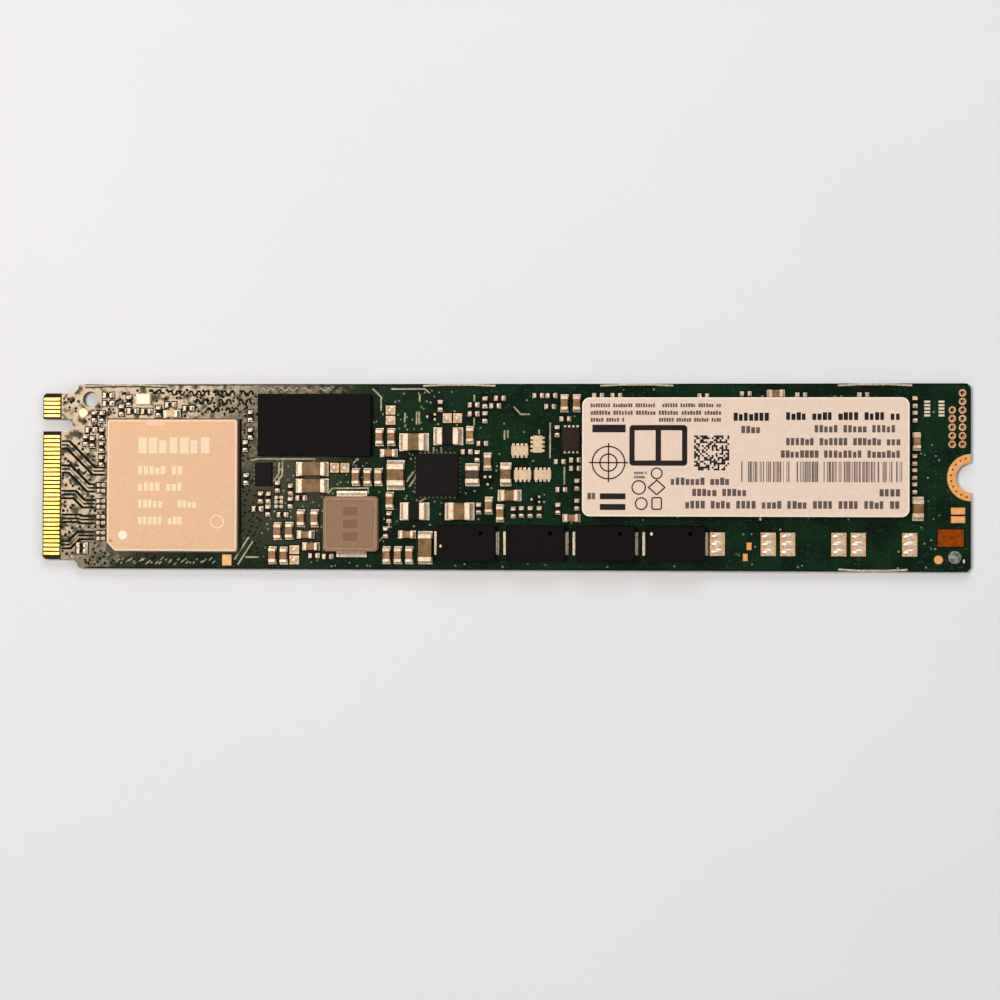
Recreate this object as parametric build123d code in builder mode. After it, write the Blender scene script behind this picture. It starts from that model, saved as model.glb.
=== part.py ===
from build123d import *
from collections import namedtuple
from math import floor
import os

os.makedirs("parts", exist_ok=True)

# A solid-state drive on a plug-in card, laid flat: +X runs from the edge connector to the screw end,
# +Y across the card, +Z out of the component side. The origin is under the middle of the card.

# Board
BOARD_WIDTH = 22.0
BOARD_THICKNESS = 0.8
BOARD_CORNER = 0.45
MASK_DEPTH = 0.05
LAND_THICKNESS = 0.04

# Blocks along the card, from the connector's tip to the screw end: together they make its length
CONNECTOR_LENGTH = 7.95
CONTROLLER_SIZE = 16.0
CONTROLLER_TO_MEMORY = 2.25
MEMORY_LENGTH = 13.5
POWER_LENGTH = 25.05
FLASH_LENGTH = 18.0
FLASH_GAP = 1.0
LABEL_END_OVERHANG = 0.525
TAIL_LENGTH = 7.2

# Edge connector
SHOULDER = 1.075
TONGUE_LENGTH = 4.3
TONGUE_CORNER = 0.35
TONGUE_BEVEL = 0.08
SHOULDER_RELIEF = 0.55
SHOULDER_CORNER = 0.25
CONTACT_PITCH = 0.5
CONTACT_WIDTH = 0.35
CONTACT_LENGTH = 1.9
CONTACT_TIP_GAP = 0.15
CONTACT_EDGE_MARGIN = 0.45
CONTACT_KEY_MARGIN = 0.1
MASK_GAP = 0.2
KEY_OFFSET = 6.125
KEY_WIDTH = 1.5
KEY_DEPTH = 3.6

# Screw end
SCREW_HOLE_RADIUS = 1.75
SCREW_PAD_RADIUS = 2.75
HEADER_PITCH = 1.0
HEADER_COLUMN_GAP = 1.18
HEADER_EDGE = 0.98
HEADER_TOP_EDGE = 1.12
HEADER_LONG_COLUMN = 7
HEADER_SHORT_COLUMN = 5
HEADER_HOLE_RADIUS = 0.235
HEADER_BARREL_WALL = 0.05
HEADER_RING_RADIUS = 0.435

# Tooling hole by the connector
TOOLING_HOLE_RADIUS = 0.95
TOOLING_HOLE_BACK = 2.15
TOOLING_HOLE_EDGE = 1.8

# Controller: a package with a metal lid on solder balls
CONTROLLER_ACROSS = -1.1
CONTROLLER_SUBSTRATE_HEIGHT = 0.45
CONTROLLER_LID_MARGIN = 0.15
CONTROLLER_LID_HEIGHT = 0.55
CONTROLLER_LID_CHAMFER = 1.05
CONTROLLER_LID_CORNER = 0.3
CONTROLLER_LID_EDGE = 0.1
PIN_MARK_RADIUS = 0.55
PIN_MARK_INSET = 1.95
PIN_MARK_DEPTH = 0.04

# Solder balls under the packages
BALL_HEIGHT = 0.3
BALL_RADIUS = 0.22
CONTROLLER_BALL_PITCH = 1.0
MEMORY_BALL_PITCH = 0.8
FLASH_BALL_PITCH = 1.0
BALL_MARGIN = 0.6

# Buffer memory, flash packages and their label
MEMORY_WIDTH = 7.4
MEMORY_HEIGHT = 0.85
MEMORY_ACROSS = 6.1
FLASH_WIDTH = 12.0
FLASH_HEIGHT = 1.05
FLASH_ACROSS = 2.33
PACKAGE_EDGE = 0.06
LABEL_SIDE_OVERHANG = 0.975
LABEL_THICKNESS = 0.1
LABEL_CORNER = 0.9

# Small leadless packages
POWER_MANAGER_SIZE = 5.0
POWER_MANAGER_HEIGHT = 0.8
POWER_MANAGER_ACROSS = 0.2
BOOT_MEMORY_LENGTH = 2.0
BOOT_MEMORY_WIDTH = 2.8
BOOT_MEMORY_HEIGHT = 0.55
BOOT_MEMORY_ACROSS = 0.25
LOAD_SWITCH_LENGTH = 2.1
LOAD_SWITCH_WIDTH = 2.8
LOAD_SWITCH_HEIGHT = 0.6
LOAD_SWITCH_ACROSS = 4.45
LEAD_PITCH = 0.5
LEAD_WIDTH = 0.26
LEAD_LENGTH = 0.6
LEAD_OUT = 0.25
LEAD_CORNER_MARGIN = 0.15

# Power inductor
INDUCTOR_SIZE = 6.5
INDUCTOR_HEIGHT = 1.25
INDUCTOR_CORNER = 0.4
INDUCTOR_EDGE = 0.08
INDUCTOR_ACROSS = -5.62
INDUCTOR_GROOVE_INSET = 0.4
INDUCTOR_GROOVE_WIDTH = 0.12
INDUCTOR_GROOVE_DEPTH = 0.05
INDUCTOR_TERMINAL_WIDTH = 3.5
INDUCTOR_TERMINAL_SHEET = 0.12
INDUCTOR_TERMINAL_RISE = 0.7
INDUCTOR_TERMINAL_FOOT = 1.3
INDUCTOR_LAND_TOE = 0.55

# Polymer capacitors, in a row along the lower edge
POLYMER_LENGTH = 7.3
POLYMER_WIDTH = 4.3
POLYMER_HEIGHT = 1.4
POLYMER_DRAFT = 9.0
POLYMER_FITTED = 4
POLYMER_ACROSS = -7.85
POLYMER_ROW_COLUMN = 14.5
POLYMER_SITE_GAP = 0.5
RESERVE_SITE_SHIFT = -0.3
POLYMER_LEAD_SHEET = 0.13
POLYMER_LEAD_WIDTH = 2.4
POLYMER_LEAD_RISE = 0.65
POLYMER_LEAD_FOOT = 1.3
POLYMER_LAND_LENGTH = 1.75
POLYMER_LAND_WIDTH = 2.75
POLYMER_LAND_TOE = 0.2
RESERVE_LAND_THICKNESS = 0.12

# Chip parts: length, width and height of the part, its metal end, and how far its land shows past it
Chip = namedtuple("Chip", "length width height end toe")
CHIP_2520 = Chip(2.5, 2.0, 1.0, 0.6, 0.5)
CHIP_2016 = Chip(2.0, 1.6, 0.9, 0.5, 0.35)
CHIP_1206 = Chip(3.2, 1.6, 1.0, 0.5, 0.35)
CHIP_0805 = Chip(2.0, 1.25, 0.85, 0.45, 0.4)
CHIP_0603 = Chip(1.6, 0.85, 0.8, 0.35, 0.25)
CHIP_0402 = Chip(1.0, 0.5, 0.45, 0.27, 0.18)
CHIP_0201 = Chip(0.6, 0.3, 0.3, 0.17, 0.2)
END_PLATING = 0.025
LAND_SIDE = 0.04

# Resistor arrays, transistors and the crystal
ARRAY_LENGTH = 2.0
ARRAY_WIDTH = 1.1
ARRAY_HEIGHT = 0.45
ARRAY_WAYS = 4
ARRAY_END_LENGTH = 0.2
ARRAY_END_WIDTH = 0.3
TRANSISTOR_LENGTH = 0.9
TRANSISTOR_WIDTH = 0.6
TRANSISTOR_HEIGHT = 0.45
TRANSISTOR_LEAD_LENGTH = 0.25
TRANSISTOR_LEAD_WIDTH = 0.25
TRANSISTOR_LEAD_SPACING = 0.6
TRANSISTOR_LEAD_HEIGHT = 0.14
CRYSTAL_LENGTH = 1.85
CRYSTAL_WIDTH = 1.4
CRYSTAL_BASE_HEIGHT = 0.3
CRYSTAL_LID_HEIGHT = 0.25
CRYSTAL_LID_MARGIN = 0.06

# Bare lands and test pads
PAIR_LAND_LENGTH = 1.03
PAIR_LAND_WIDTH = 1.12
PAIR_LAND_GAP = 0.2
SPARE_PAD_LENGTH = 0.68
SPARE_PAD_WIDTH = 0.25
SPARE_PAD_PITCH = 0.4
SPARE_PAD_ROWS = 5
FIDUCIAL_RADIUS = 0.5
TEST_DISC_RADIUS = 0.75
TEST_PAD_LENGTH = 1.62
TEST_PAD_WIDTH = 0.78
COPPER_PATCH_LENGTH = 3.0
COPPER_PATCH_WIDTH = 2.0

# Places along the card, worked out from the blocks
label_length = 2 * FLASH_LENGTH + FLASH_GAP + 2 * LABEL_END_OVERHANG
label_width = FLASH_WIDTH + 2 * LABEL_SIDE_OVERHANG
board_length = (
    CONNECTOR_LENGTH
    + CONTROLLER_SIZE
    + CONTROLLER_TO_MEMORY
    + MEMORY_LENGTH
    + POWER_LENGTH
    + label_length
    + TAIL_LENGTH
)
tip = -board_length / 2
card_end = board_length / 2
lower_edge = -BOARD_WIDTH / 2
controller_left = tip + CONNECTOR_LENGTH
controller_right = controller_left + CONTROLLER_SIZE
controller_top = CONTROLLER_ACROSS + CONTROLLER_SIZE / 2
memory_left = controller_right + CONTROLLER_TO_MEMORY
power_left = memory_left + MEMORY_LENGTH
label_left = power_left + POWER_LENGTH
label_right = label_left + label_length

# Each block is laid out on columns of about half a millimetre, which close up when the block does
memory_step = MEMORY_LENGTH / 27
power_step = POWER_LENGTH / 50
label_step = label_length / 76
tail_step = TAIL_LENGTH / 14.4

board_top = BOARD_THICKNESS
land_top = board_top + LAND_THICKNESS
ball_top = board_top + BALL_HEIGHT
tongue_width = BOARD_WIDTH - 2 * SHOULDER
contact_zone = CONTACT_TIP_GAP + CONTACT_LENGTH + MASK_GAP

# Places: column, distance across the card, and turn. Beside the controller, millimetres from its edge
LEFT_OF_CONTROLLER_0402 = [
    (-0.75, 7.1, 90), (-0.75, 5.1, 90), (-0.75, 3.5, 90), (-0.8, 1.85, 90), (-1.7, 7.15, 90),
    (-1.9, 4.1, 90), (-2.7, 4.3, 90), (-2.05, 5.55, 0), (-3.1, -8.25, 0), (-3.1, -8.95, 0),
]
ABOVE_CONTROLLER_0402 = [
    (0.0, 2.8, 0), (0.0, 1.8, 0), (1.6, 1.0, 90), (3.0, 0.9, 0), (2.5, 2.1, 90), (4.65, 0.85, 0),
    (6.1, 0.85, 90), (7.55, 1.65, 0), (9.7, 1.2, 0),
]
RIGHT_OF_CONTROLLER_0402 = [(0.7, -0.3, 90), (1.2, 7.2, 90), (1.2, 5.1, 90), (0.6, 3.6, 90)]
FILTER_CHIP = (7.7, 0.57, 0)
CRYSTAL = (4.3, 2.3, 0)
COUPLING_PAIRS = 4
COUPLING_FIRST = -1.4
COUPLING_PAIR_PITCH = 1.9
COUPLING_SPACING = 0.7
COUPLING_BACK = 0.85

MEMORY_0402 = [
    (4.5, -1.2, 90), (7.6, -1.55, 90), (7.6, -3.1, 90), (0.4, -2.5, 90), (2.3, -2.5, 90), (2.2, -4.05, 90),
    (-0.3, -3.85, 0), (5.7, -4.55, 0), (10.2, -2.55, 0), (13.3, -9.4, 0), (16.6, -9.5, 0),
]
MEMORY_0201 = [(4.8, -2.5, 0), (4.8, -3.03, 0), (4.8, -3.56, 0)]
MEMORY_0603 = [
    (4.6, -6.5, 90), (7.4, -6.45, 90), (3.4, -9.35, 90), (6.1, -9.4, 90), (10.2, -4.95, 90),
    (13.5, -4.95, 90), (23.3, -0.05, 90), (26.1, -0.05, 90), (28.7, -0.05, 90), (11.3, -6.9, 0),
    (12.6, -8.3, 0),
]
MEMORY_1206 = [(12.8, 0.9, 0), (12.8, -1.1, 0)]
MEMORY_LAND_PAIRS = [(8.6, -9.3, 90), (19.4, 1.05, 0)]
BOOT_MEMORY_COLUMN = 1.2
INDUCTOR_COLUMN = 22.3

POWER_0402 = [
    (24.2, 8.5, 0), (24.2, 7.45, 0), (29.3, 8.4, 0), (30.4, 9.3, 0), (39.5, 9.6, 0), (42.6, 9.6, 0),
    (42.3, 8.3, 0), (45.9, 6.85, 0), (26.3, 3.95, 0), (22.6, 2.95, 0), (44.6, 1.8, 0), (48.2, 2.0, 0),
    (48.2, 1.0, 0), (45.0, -1.5, 0), (26.9, 8.8, 90), (26.9, 7.05, 90), (16.3, 8.4, 90), (25.1, 2.45, 90),
    (44.0, 5.4, 90), (25.5, -3.75, 90), (33.7, -4.2, 90), (35.6, -4.15, 90), (37.7, -4.15, 90),
    (39.8, -4.15, 90), (44.2, -3.75, 90), (48.7, -3.25, 90), (48.7, -0.9, 90), (4.2, -4.8, 90),
    (3.4, -6.6, 90),
]
POWER_0603 = [
    (1.9, 4.7, 90), (4.7, 4.7, 90), (23.4, 4.95, 90), (45.7, 8.7, 90), (48.6, 8.7, 90), (4.4, -2.85, 90),
    (3.7, -9.3, 90), (6.4, -9.3, 90), (9.1, -9.3, 90), (27.6, 1.8, 90), (27.9, -3.4, 90), (30.6, -4.3, 90),
    (4.1, 2.8, 0), (8.5, -6.85, 0), (47.4, -4.85, 0),
]
POWER_1206 = [(12.9, -8.4, 90)]
POWER_0805 = [(31.9, 0.3, 90), (32.8, -2.2, 0)]
POWER_LAND_PAIRS = [(4.5, 7.3, 90), (19.2, 6.95, 0)]
BROWN_2520 = [(10.1, 4.1, 0), (5.8, 0.2, 90), (21.0, -4.1, 0)]
DARK_2520 = [(18.2, 4.8, 0), (10.3, -4.1, 0)]
DARK_2016 = [(24.0, 0.25, 90)]
ARRAYS = [(35.2, 3.1, 0), (39.4, 3.85, 90), (35.9, 0.25, 0), (40.6, 0.25, 0)]
TRANSISTORS = [(27.6, -0.45, 180), (38.9, -2.65, 90), (14.1, 7.1, 90)]
POWER_MANAGER_COLUMN = 15.7
LOAD_SWITCH_COLUMN = 47.3

FLASH_0402 = [
    (3.6, 9.6, 0), (7.9, 9.6, 0), (28.3, 9.55, 0), (38.2, 9.8, 0), (51.1, 9.65, 0), (65.5, 9.65, 0),
]
FLASH_0603 = [(45.2, 9.8, 0)]
TAIL_0402 = [(1.5, 8.8, 90), (1.5, 7.1, 90), (1.4, 2.05, 90), (1.4, 0.4, 90), (1.4, -1.25, 90)]
TAIL_0603 = [(1.9, 4.2, 90)]
TAIL_0805 = [(2.2, -3.65, 90)]
SPARE_PAD_COLUMNS = (4.3, 7.6)
SPARE_PAD_ACROSS = 8.05

# Bare pads: the test pads' distance in from the card's end, midway from the screw pad to the copper patch,
# and the others' distance in from the controller's edge and distance across
TEST_PADS_INWARD = 1.48
TEST_PAD_PITCH = 1.0
FIDUCIAL_BY_CONNECTOR = (3.05, 7.6)
CONTROLLER_PAD = (1.57, -9.95)
CONTROLLER_PAD_SIZE = (1.1, 1.3)

# Bare pads by the lower corner: distance in from the card's end, and up from its lower edge
FIDUCIAL_BY_END = (3.73, 1.4)
TEST_DISC = (1.86, 1.7)
COPPER_PATCH = (2.32, 3.95)

# Marks in the first unfitted capacitor's place: distance along from its middle, and distance across
MARK_PADS = [(0.74, -8.1), (0.29, -9.4)]
MARK_PAD_SIZE = (0.55, 0.85)


def spots(start, step, rows, height):
    """Locations of rows of (column, across, turn), with column steps counted from start."""
    return [Location((start + column * step, across, height), (0, 0, turn)) for column, across, turn in rows]


def above_controller(rows):
    """Rows of (column, height above the controller's upper edge, turn), as distances across the card."""
    return [(column, controller_top + across, turn) for column, across, turn in rows]


def chip_bodies(chip, places):
    """The ceramic or ferrite blocks of chip parts, between their metal ends."""
    with BuildPart() as bodies:
        with Locations(*places):
            Box(
                chip.length - 2 * chip.end,
                chip.width - 2 * END_PLATING,
                chip.height - END_PLATING,
                align=(Align.CENTER, Align.CENTER, Align.MIN),
            )
    return bodies.part


def chip_ends(chip, places):
    """The two plated metal ends of each chip part."""
    reach = (chip.length - chip.end) / 2
    with BuildPart() as ends:
        with Locations(*places):
            with Locations((-reach, 0, 0), (reach, 0, 0)):
                Box(chip.end, chip.width, chip.height, align=(Align.CENTER, Align.CENTER, Align.MIN))
    return ends.part


def block(length, width, height, x, y, z, edge):
    """A moulded package with its top edges eased."""
    with BuildPart() as package:
        with Locations((x, y, z)):
            Box(length, width, height, align=(Align.CENTER, Align.CENTER, Align.MIN))
        chamfer(package.faces().sort_by(Axis.Z)[-1].edges(), edge)
    return package.part


def ball_grid(x, y, length, width, pitch):
    """Solder balls, squashed to short cylinders, in a full grid under a package."""
    along = floor((length - 2 * BALL_MARGIN) / pitch) + 1
    across = floor((width - 2 * BALL_MARGIN) / pitch) + 1
    with BuildPart() as balls:
        with BuildSketch(Plane.XY.offset(board_top)):
            with Locations((x, y)):
                with GridLocations(pitch, pitch, along, across):
                    Circle(BALL_RADIUS)
        extrude(amount=BALL_HEIGHT)
    return balls.part


def save(part, name):
    """Label a finished piece and write it as its own file."""
    part.label = name
    export_step(part, f"parts/{name}.step")


# Places of the chip parts, block by block
resistor_places = (
    spots(controller_left, 1, LEFT_OF_CONTROLLER_0402, land_top)
    + spots(controller_left, 1, above_controller(ABOVE_CONTROLLER_0402), land_top)
    + spots(controller_right, 1, RIGHT_OF_CONTROLLER_0402, land_top)
    + spots(memory_left, memory_step, MEMORY_0402, land_top)
    + spots(power_left, power_step, POWER_0402, land_top)
    + spots(label_left, label_step, FLASH_0402, land_top)
    + spots(label_right, tail_step, TAIL_0402, land_top)
)
coupling_places = [
    Location((controller_left - COUPLING_BACK, COUPLING_FIRST - pair * COUPLING_PAIR_PITCH + side, land_top))
    for pair in range(COUPLING_PAIRS)
    for side in (-COUPLING_SPACING / 2, COUPLING_SPACING / 2)
]
places_0201 = coupling_places + spots(memory_left, memory_step, MEMORY_0201, land_top)
places_0603 = (
    spots(memory_left, memory_step, MEMORY_0603, land_top)
    + spots(power_left, power_step, POWER_0603, land_top)
    + spots(label_left, label_step, FLASH_0603, land_top)
    + spots(label_right, tail_step, TAIL_0603, land_top)
)
places_0805 = spots(power_left, power_step, POWER_0805, land_top) + spots(
    label_right, tail_step, TAIL_0805, land_top
)
places_1206 = spots(memory_left, memory_step, MEMORY_1206, land_top) + spots(
    power_left, power_step, POWER_1206, land_top
)
brown_inductor_places = spots(power_left, power_step, BROWN_2520, land_top)
dark_inductor_places = spots(power_left, power_step, DARK_2520, land_top)
small_inductor_places = spots(power_left, power_step, DARK_2016, land_top)
filter_places = spots(controller_left, 1, above_controller([FILTER_CHIP]), land_top)
array_places = spots(power_left, power_step, ARRAYS, land_top)
transistor_places = spots(power_left, power_step, TRANSISTORS, land_top)
land_pair_places = spots(memory_left, memory_step, MEMORY_LAND_PAIRS, board_top) + spots(
    power_left, power_step, POWER_LAND_PAIRS, board_top
)

# The row of polymer capacitors: as many sites as fit between its start and the card's last block
polymer_pitch = POLYMER_LENGTH + 2 * POLYMER_LAND_TOE + POLYMER_SITE_GAP
polymer_start = power_left + POLYMER_ROW_COLUMN * power_step
polymer_sites = floor((label_right + TAIL_LENGTH / 4 - polymer_start) / polymer_pitch)
polymer_centres = [polymer_start + polymer_pitch * (site + 0.5) for site in range(POLYMER_FITTED)]
reserve_centres = [
    polymer_start + polymer_pitch * (site + 0.5) + RESERVE_SITE_SHIFT
    for site in range(POLYMER_FITTED, polymer_sites)
]
first_reserve = polymer_start + polymer_pitch * (POLYMER_FITTED + 0.5) + RESERVE_SITE_SHIFT
polymer_land_reach = POLYMER_LENGTH / 2 + POLYMER_LAND_TOE - POLYMER_LAND_LENGTH / 2
inductor_x = memory_left + INDUCTOR_COLUMN * memory_step
controller_x = controller_left + CONTROLLER_SIZE / 2
memory_x = memory_left + MEMORY_LENGTH / 2
boot_memory_x = memory_left + BOOT_MEMORY_COLUMN * memory_step
power_manager_x = power_left + POWER_MANAGER_COLUMN * power_step
load_switch_x = power_left + LOAD_SWITCH_COLUMN * power_step
flash_first = label_left + LABEL_END_OVERHANG + FLASH_LENGTH / 2
flash_x = (flash_first, flash_first + FLASH_LENGTH + FLASH_GAP)
label_x = label_left + label_length / 2
header_lowest = BOARD_WIDTH / 2 - HEADER_TOP_EDGE - (HEADER_LONG_COLUMN - 1) * HEADER_PITCH
header_places = [
    (card_end - HEADER_EDGE - column * HEADER_COLUMN_GAP, header_lowest + row * HEADER_PITCH)
    for column, rows in enumerate((HEADER_LONG_COLUMN, HEADER_SHORT_COLUMN))
    for row in range(rows)
]

# Circuit board: the card outline with its tongue, key notch, screw notch and holes
with BuildPart() as circuit_board:
    with BuildSketch():
        with BuildLine():
            Polyline(
                (tip, 0),
                (tip, tongue_width / 2 - TONGUE_CORNER),
                (tip + TONGUE_CORNER, tongue_width / 2),
                (tip + TONGUE_LENGTH - SHOULDER_RELIEF, tongue_width / 2),
                (tip + TONGUE_LENGTH, tongue_width / 2 + SHOULDER_RELIEF),
                (tip + TONGUE_LENGTH, BOARD_WIDTH / 2 - SHOULDER_CORNER),
                (tip + TONGUE_LENGTH + SHOULDER_CORNER, BOARD_WIDTH / 2),
                (card_end - BOARD_CORNER, BOARD_WIDTH / 2),
                (card_end, BOARD_WIDTH / 2 - BOARD_CORNER),
                (card_end, 0),
            )
            mirror(about=Plane.XZ)
        make_face()
    extrude(amount=BOARD_THICKNESS)
    with BuildSketch():
        with Locations((tip, KEY_OFFSET)):
            Rectangle(2 * (KEY_DEPTH - KEY_WIDTH / 2), KEY_WIDTH)
        with Locations((tip + KEY_DEPTH - KEY_WIDTH / 2, KEY_OFFSET)):
            Circle(KEY_WIDTH / 2)
        with Locations((card_end, 0)):
            Circle(SCREW_HOLE_RADIUS)
        with Locations((controller_left - TOOLING_HOLE_BACK, BOARD_WIDTH / 2 - TOOLING_HOLE_EDGE)):
            Circle(TOOLING_HOLE_RADIUS)
        with Locations(*header_places):
            Circle(HEADER_HOLE_RADIUS + HEADER_BARREL_WALL)
    extrude(amount=BOARD_THICKNESS, mode=Mode.SUBTRACT)
    # The mask stops short of the contacts and of the screw's pads, on both faces
    with BuildSketch(Plane.XY, Plane.XY.offset(BOARD_THICKNESS - MASK_DEPTH)):
        with Locations((tip, 0)):
            Rectangle(2 * contact_zone, BOARD_WIDTH)
        with Locations((card_end, 0)):
            Circle(SCREW_PAD_RADIUS)
    extrude(amount=MASK_DEPTH, mode=Mode.SUBTRACT)
    chamfer(circuit_board.edges().filter_by(Axis.Y).group_by(Axis.X)[0], TONGUE_BEVEL)
save(circuit_board.part, "circuit_board")

# Edge contacts: as many as the tongue takes on top, one fewer and half a pitch off below, none at the key
contact_count = floor((tongue_width - 2 * CONTACT_EDGE_MARGIN - CONTACT_WIDTH) / CONTACT_PITCH) + 1
key_clear = (KEY_WIDTH + CONTACT_WIDTH) / 2 + CONTACT_KEY_MARGIN
contact_x = tip + CONTACT_TIP_GAP + CONTACT_LENGTH / 2
for name, count, level in (
    ("edge_contacts_top", contact_count, BOARD_THICKNESS - MASK_DEPTH),
    ("edge_contacts_bottom", contact_count - 1, 0),
):
    rows = [(k - (count - 1) / 2) * CONTACT_PITCH for k in range(count)]
    with BuildPart() as edge_contacts:
        with BuildSketch(Plane.XY.offset(level)):
            with Locations(*[(contact_x, y) for y in rows if abs(y - KEY_OFFSET) > key_clear]):
                Rectangle(CONTACT_LENGTH, CONTACT_WIDTH)
        extrude(amount=MASK_DEPTH)
    save(edge_contacts.part, name)

# Screw pads: a half ring of plated copper round the screw notch, on each face
for name, level in (("screw_pad_top", BOARD_THICKNESS - MASK_DEPTH), ("screw_pad_bottom", 0)):
    with BuildPart() as screw_pad:
        with BuildSketch(Plane.XY.offset(level)):
            with Locations((card_end, 0)):
                Circle(SCREW_PAD_RADIUS)
                Circle(SCREW_HOLE_RADIUS, mode=Mode.SUBTRACT)
            with Locations((card_end + SCREW_PAD_RADIUS, 0)):
                Rectangle(2 * SCREW_PAD_RADIUS, 2 * SCREW_PAD_RADIUS, mode=Mode.SUBTRACT)
        extrude(amount=MASK_DEPTH)
    save(screw_pad.part, name)

# Header: plated barrels through the board, each with a ring on top
with BuildPart() as header_barrels:
    with BuildSketch():
        with Locations(*header_places):
            Circle(HEADER_HOLE_RADIUS + HEADER_BARREL_WALL)
    extrude(amount=BOARD_THICKNESS)
    with BuildSketch(Plane.XY.offset(board_top)):
        with Locations(*header_places):
            Circle(HEADER_RING_RADIUS)
    extrude(amount=LAND_THICKNESS)
    with BuildSketch():
        with Locations(*header_places):
            Circle(HEADER_HOLE_RADIUS)
    extrude(amount=land_top, mode=Mode.SUBTRACT)
save(header_barrels.part, "header_barrels")

# Controller: substrate on its balls, with the lid on top
lid_size = CONTROLLER_SIZE - 2 * CONTROLLER_LID_MARGIN
lid_bottom = ball_top + CONTROLLER_SUBSTRATE_HEIGHT
lid_top = lid_bottom + CONTROLLER_LID_HEIGHT
save(
    ball_grid(controller_x, CONTROLLER_ACROSS, CONTROLLER_SIZE, CONTROLLER_SIZE, CONTROLLER_BALL_PITCH),
    "controller_solder_balls",
)
with BuildPart() as controller_substrate:
    with Locations((controller_x, CONTROLLER_ACROSS, ball_top)):
        Box(
            CONTROLLER_SIZE,
            CONTROLLER_SIZE,
            CONTROLLER_SUBSTRATE_HEIGHT,
            align=(Align.CENTER, Align.CENTER, Align.MIN),
        )
save(controller_substrate.part, "controller_substrate")
with BuildPart() as controller_lid:
    with BuildSketch(Plane.XY.offset(lid_bottom)) as lid_outline:
        with Locations((controller_x, CONTROLLER_ACROSS)):
            Rectangle(lid_size, lid_size)
        pin_corner = lid_outline.vertices().sort_by(Axis.X)[:2].sort_by(Axis.Y)[0]
        other_corners = [corner for corner in lid_outline.vertices() if corner != pin_corner]
        fillet(other_corners, CONTROLLER_LID_CORNER)
        chamfer(lid_outline.vertices().group_by(Axis.X)[0].sort_by(Axis.Y)[0], CONTROLLER_LID_CHAMFER)
    extrude(amount=CONTROLLER_LID_HEIGHT)
    fillet(controller_lid.faces().sort_by(Axis.Z)[-1].edges(), CONTROLLER_LID_EDGE)
    with BuildSketch(Plane.XY.offset(lid_top)):
        with Locations(
            (
                controller_x - lid_size / 2 + PIN_MARK_INSET,
                CONTROLLER_ACROSS - lid_size / 2 + PIN_MARK_INSET,
            )
        ):
            Circle(PIN_MARK_RADIUS)
    extrude(amount=-PIN_MARK_DEPTH, mode=Mode.SUBTRACT)
save(controller_lid.part, "controller_lid")

# Buffer memory
save(
    ball_grid(memory_x, MEMORY_ACROSS, MEMORY_LENGTH, MEMORY_WIDTH, MEMORY_BALL_PITCH),
    "memory_solder_balls",
)
save(
    block(MEMORY_LENGTH, MEMORY_WIDTH, MEMORY_HEIGHT, memory_x, MEMORY_ACROSS, ball_top, PACKAGE_EDGE),
    "memory_package",
)

# Flash packages and the label that lies across them
for name, x in zip(("flash_left", "flash_right"), flash_x):
    save(ball_grid(x, FLASH_ACROSS, FLASH_LENGTH, FLASH_WIDTH, FLASH_BALL_PITCH), f"{name}_solder_balls")
    save(
        block(FLASH_LENGTH, FLASH_WIDTH, FLASH_HEIGHT, x, FLASH_ACROSS, ball_top, PACKAGE_EDGE),
        f"{name}_package",
    )
with BuildPart() as label:
    with BuildSketch(Plane.XY.offset(ball_top + FLASH_HEIGHT)):
        with Locations((label_x, FLASH_ACROSS)):
            RectangleRounded(label_length, label_width, LABEL_CORNER)
    extrude(amount=LABEL_THICKNESS)
save(label.part, "label")

# Leadless packages, each standing on a row of leads along two or four of its sides
lead_reach = LEAD_OUT - LEAD_LENGTH / 2


def lead_rows(x, y, length, width, sides):
    """Leads along the sides of a leadless package: 'x' for its left and right sides, 'y' for the others."""
    with BuildPart() as leads:
        with BuildSketch(Plane.XY.offset(board_top)):
            for side in sides:
                run, depth = (width, length) if side == "x" else (length, width)
                count = floor((run - 2 * LEAD_CORNER_MARGIN - LEAD_WIDTH) / LEAD_PITCH) + 1
                turn = 0 if side == "x" else 90
                with Locations(Location((x, y, 0), (0, 0, turn))):
                    with GridLocations(depth + 2 * lead_reach, LEAD_PITCH, 2, count):
                        Rectangle(LEAD_LENGTH, LEAD_WIDTH)
        extrude(amount=LAND_THICKNESS)
    return leads.part


for name, length, width, height, x, y, sides in (
    (
        "power_manager",
        POWER_MANAGER_SIZE,
        POWER_MANAGER_SIZE,
        POWER_MANAGER_HEIGHT,
        power_manager_x,
        POWER_MANAGER_ACROSS,
        "xy",
    ),
    (
        "boot_memory",
        BOOT_MEMORY_LENGTH,
        BOOT_MEMORY_WIDTH,
        BOOT_MEMORY_HEIGHT,
        boot_memory_x,
        BOOT_MEMORY_ACROSS,
        "x",
    ),
    (
        "load_switch",
        LOAD_SWITCH_LENGTH,
        LOAD_SWITCH_WIDTH,
        LOAD_SWITCH_HEIGHT,
        load_switch_x,
        LOAD_SWITCH_ACROSS,
        "y",
    ),
):
    save(lead_rows(x, y, length, width, sides), f"{name}_leads")
    save(block(length, width, height, x, y, land_top, PACKAGE_EDGE), f"{name}_package")

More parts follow.
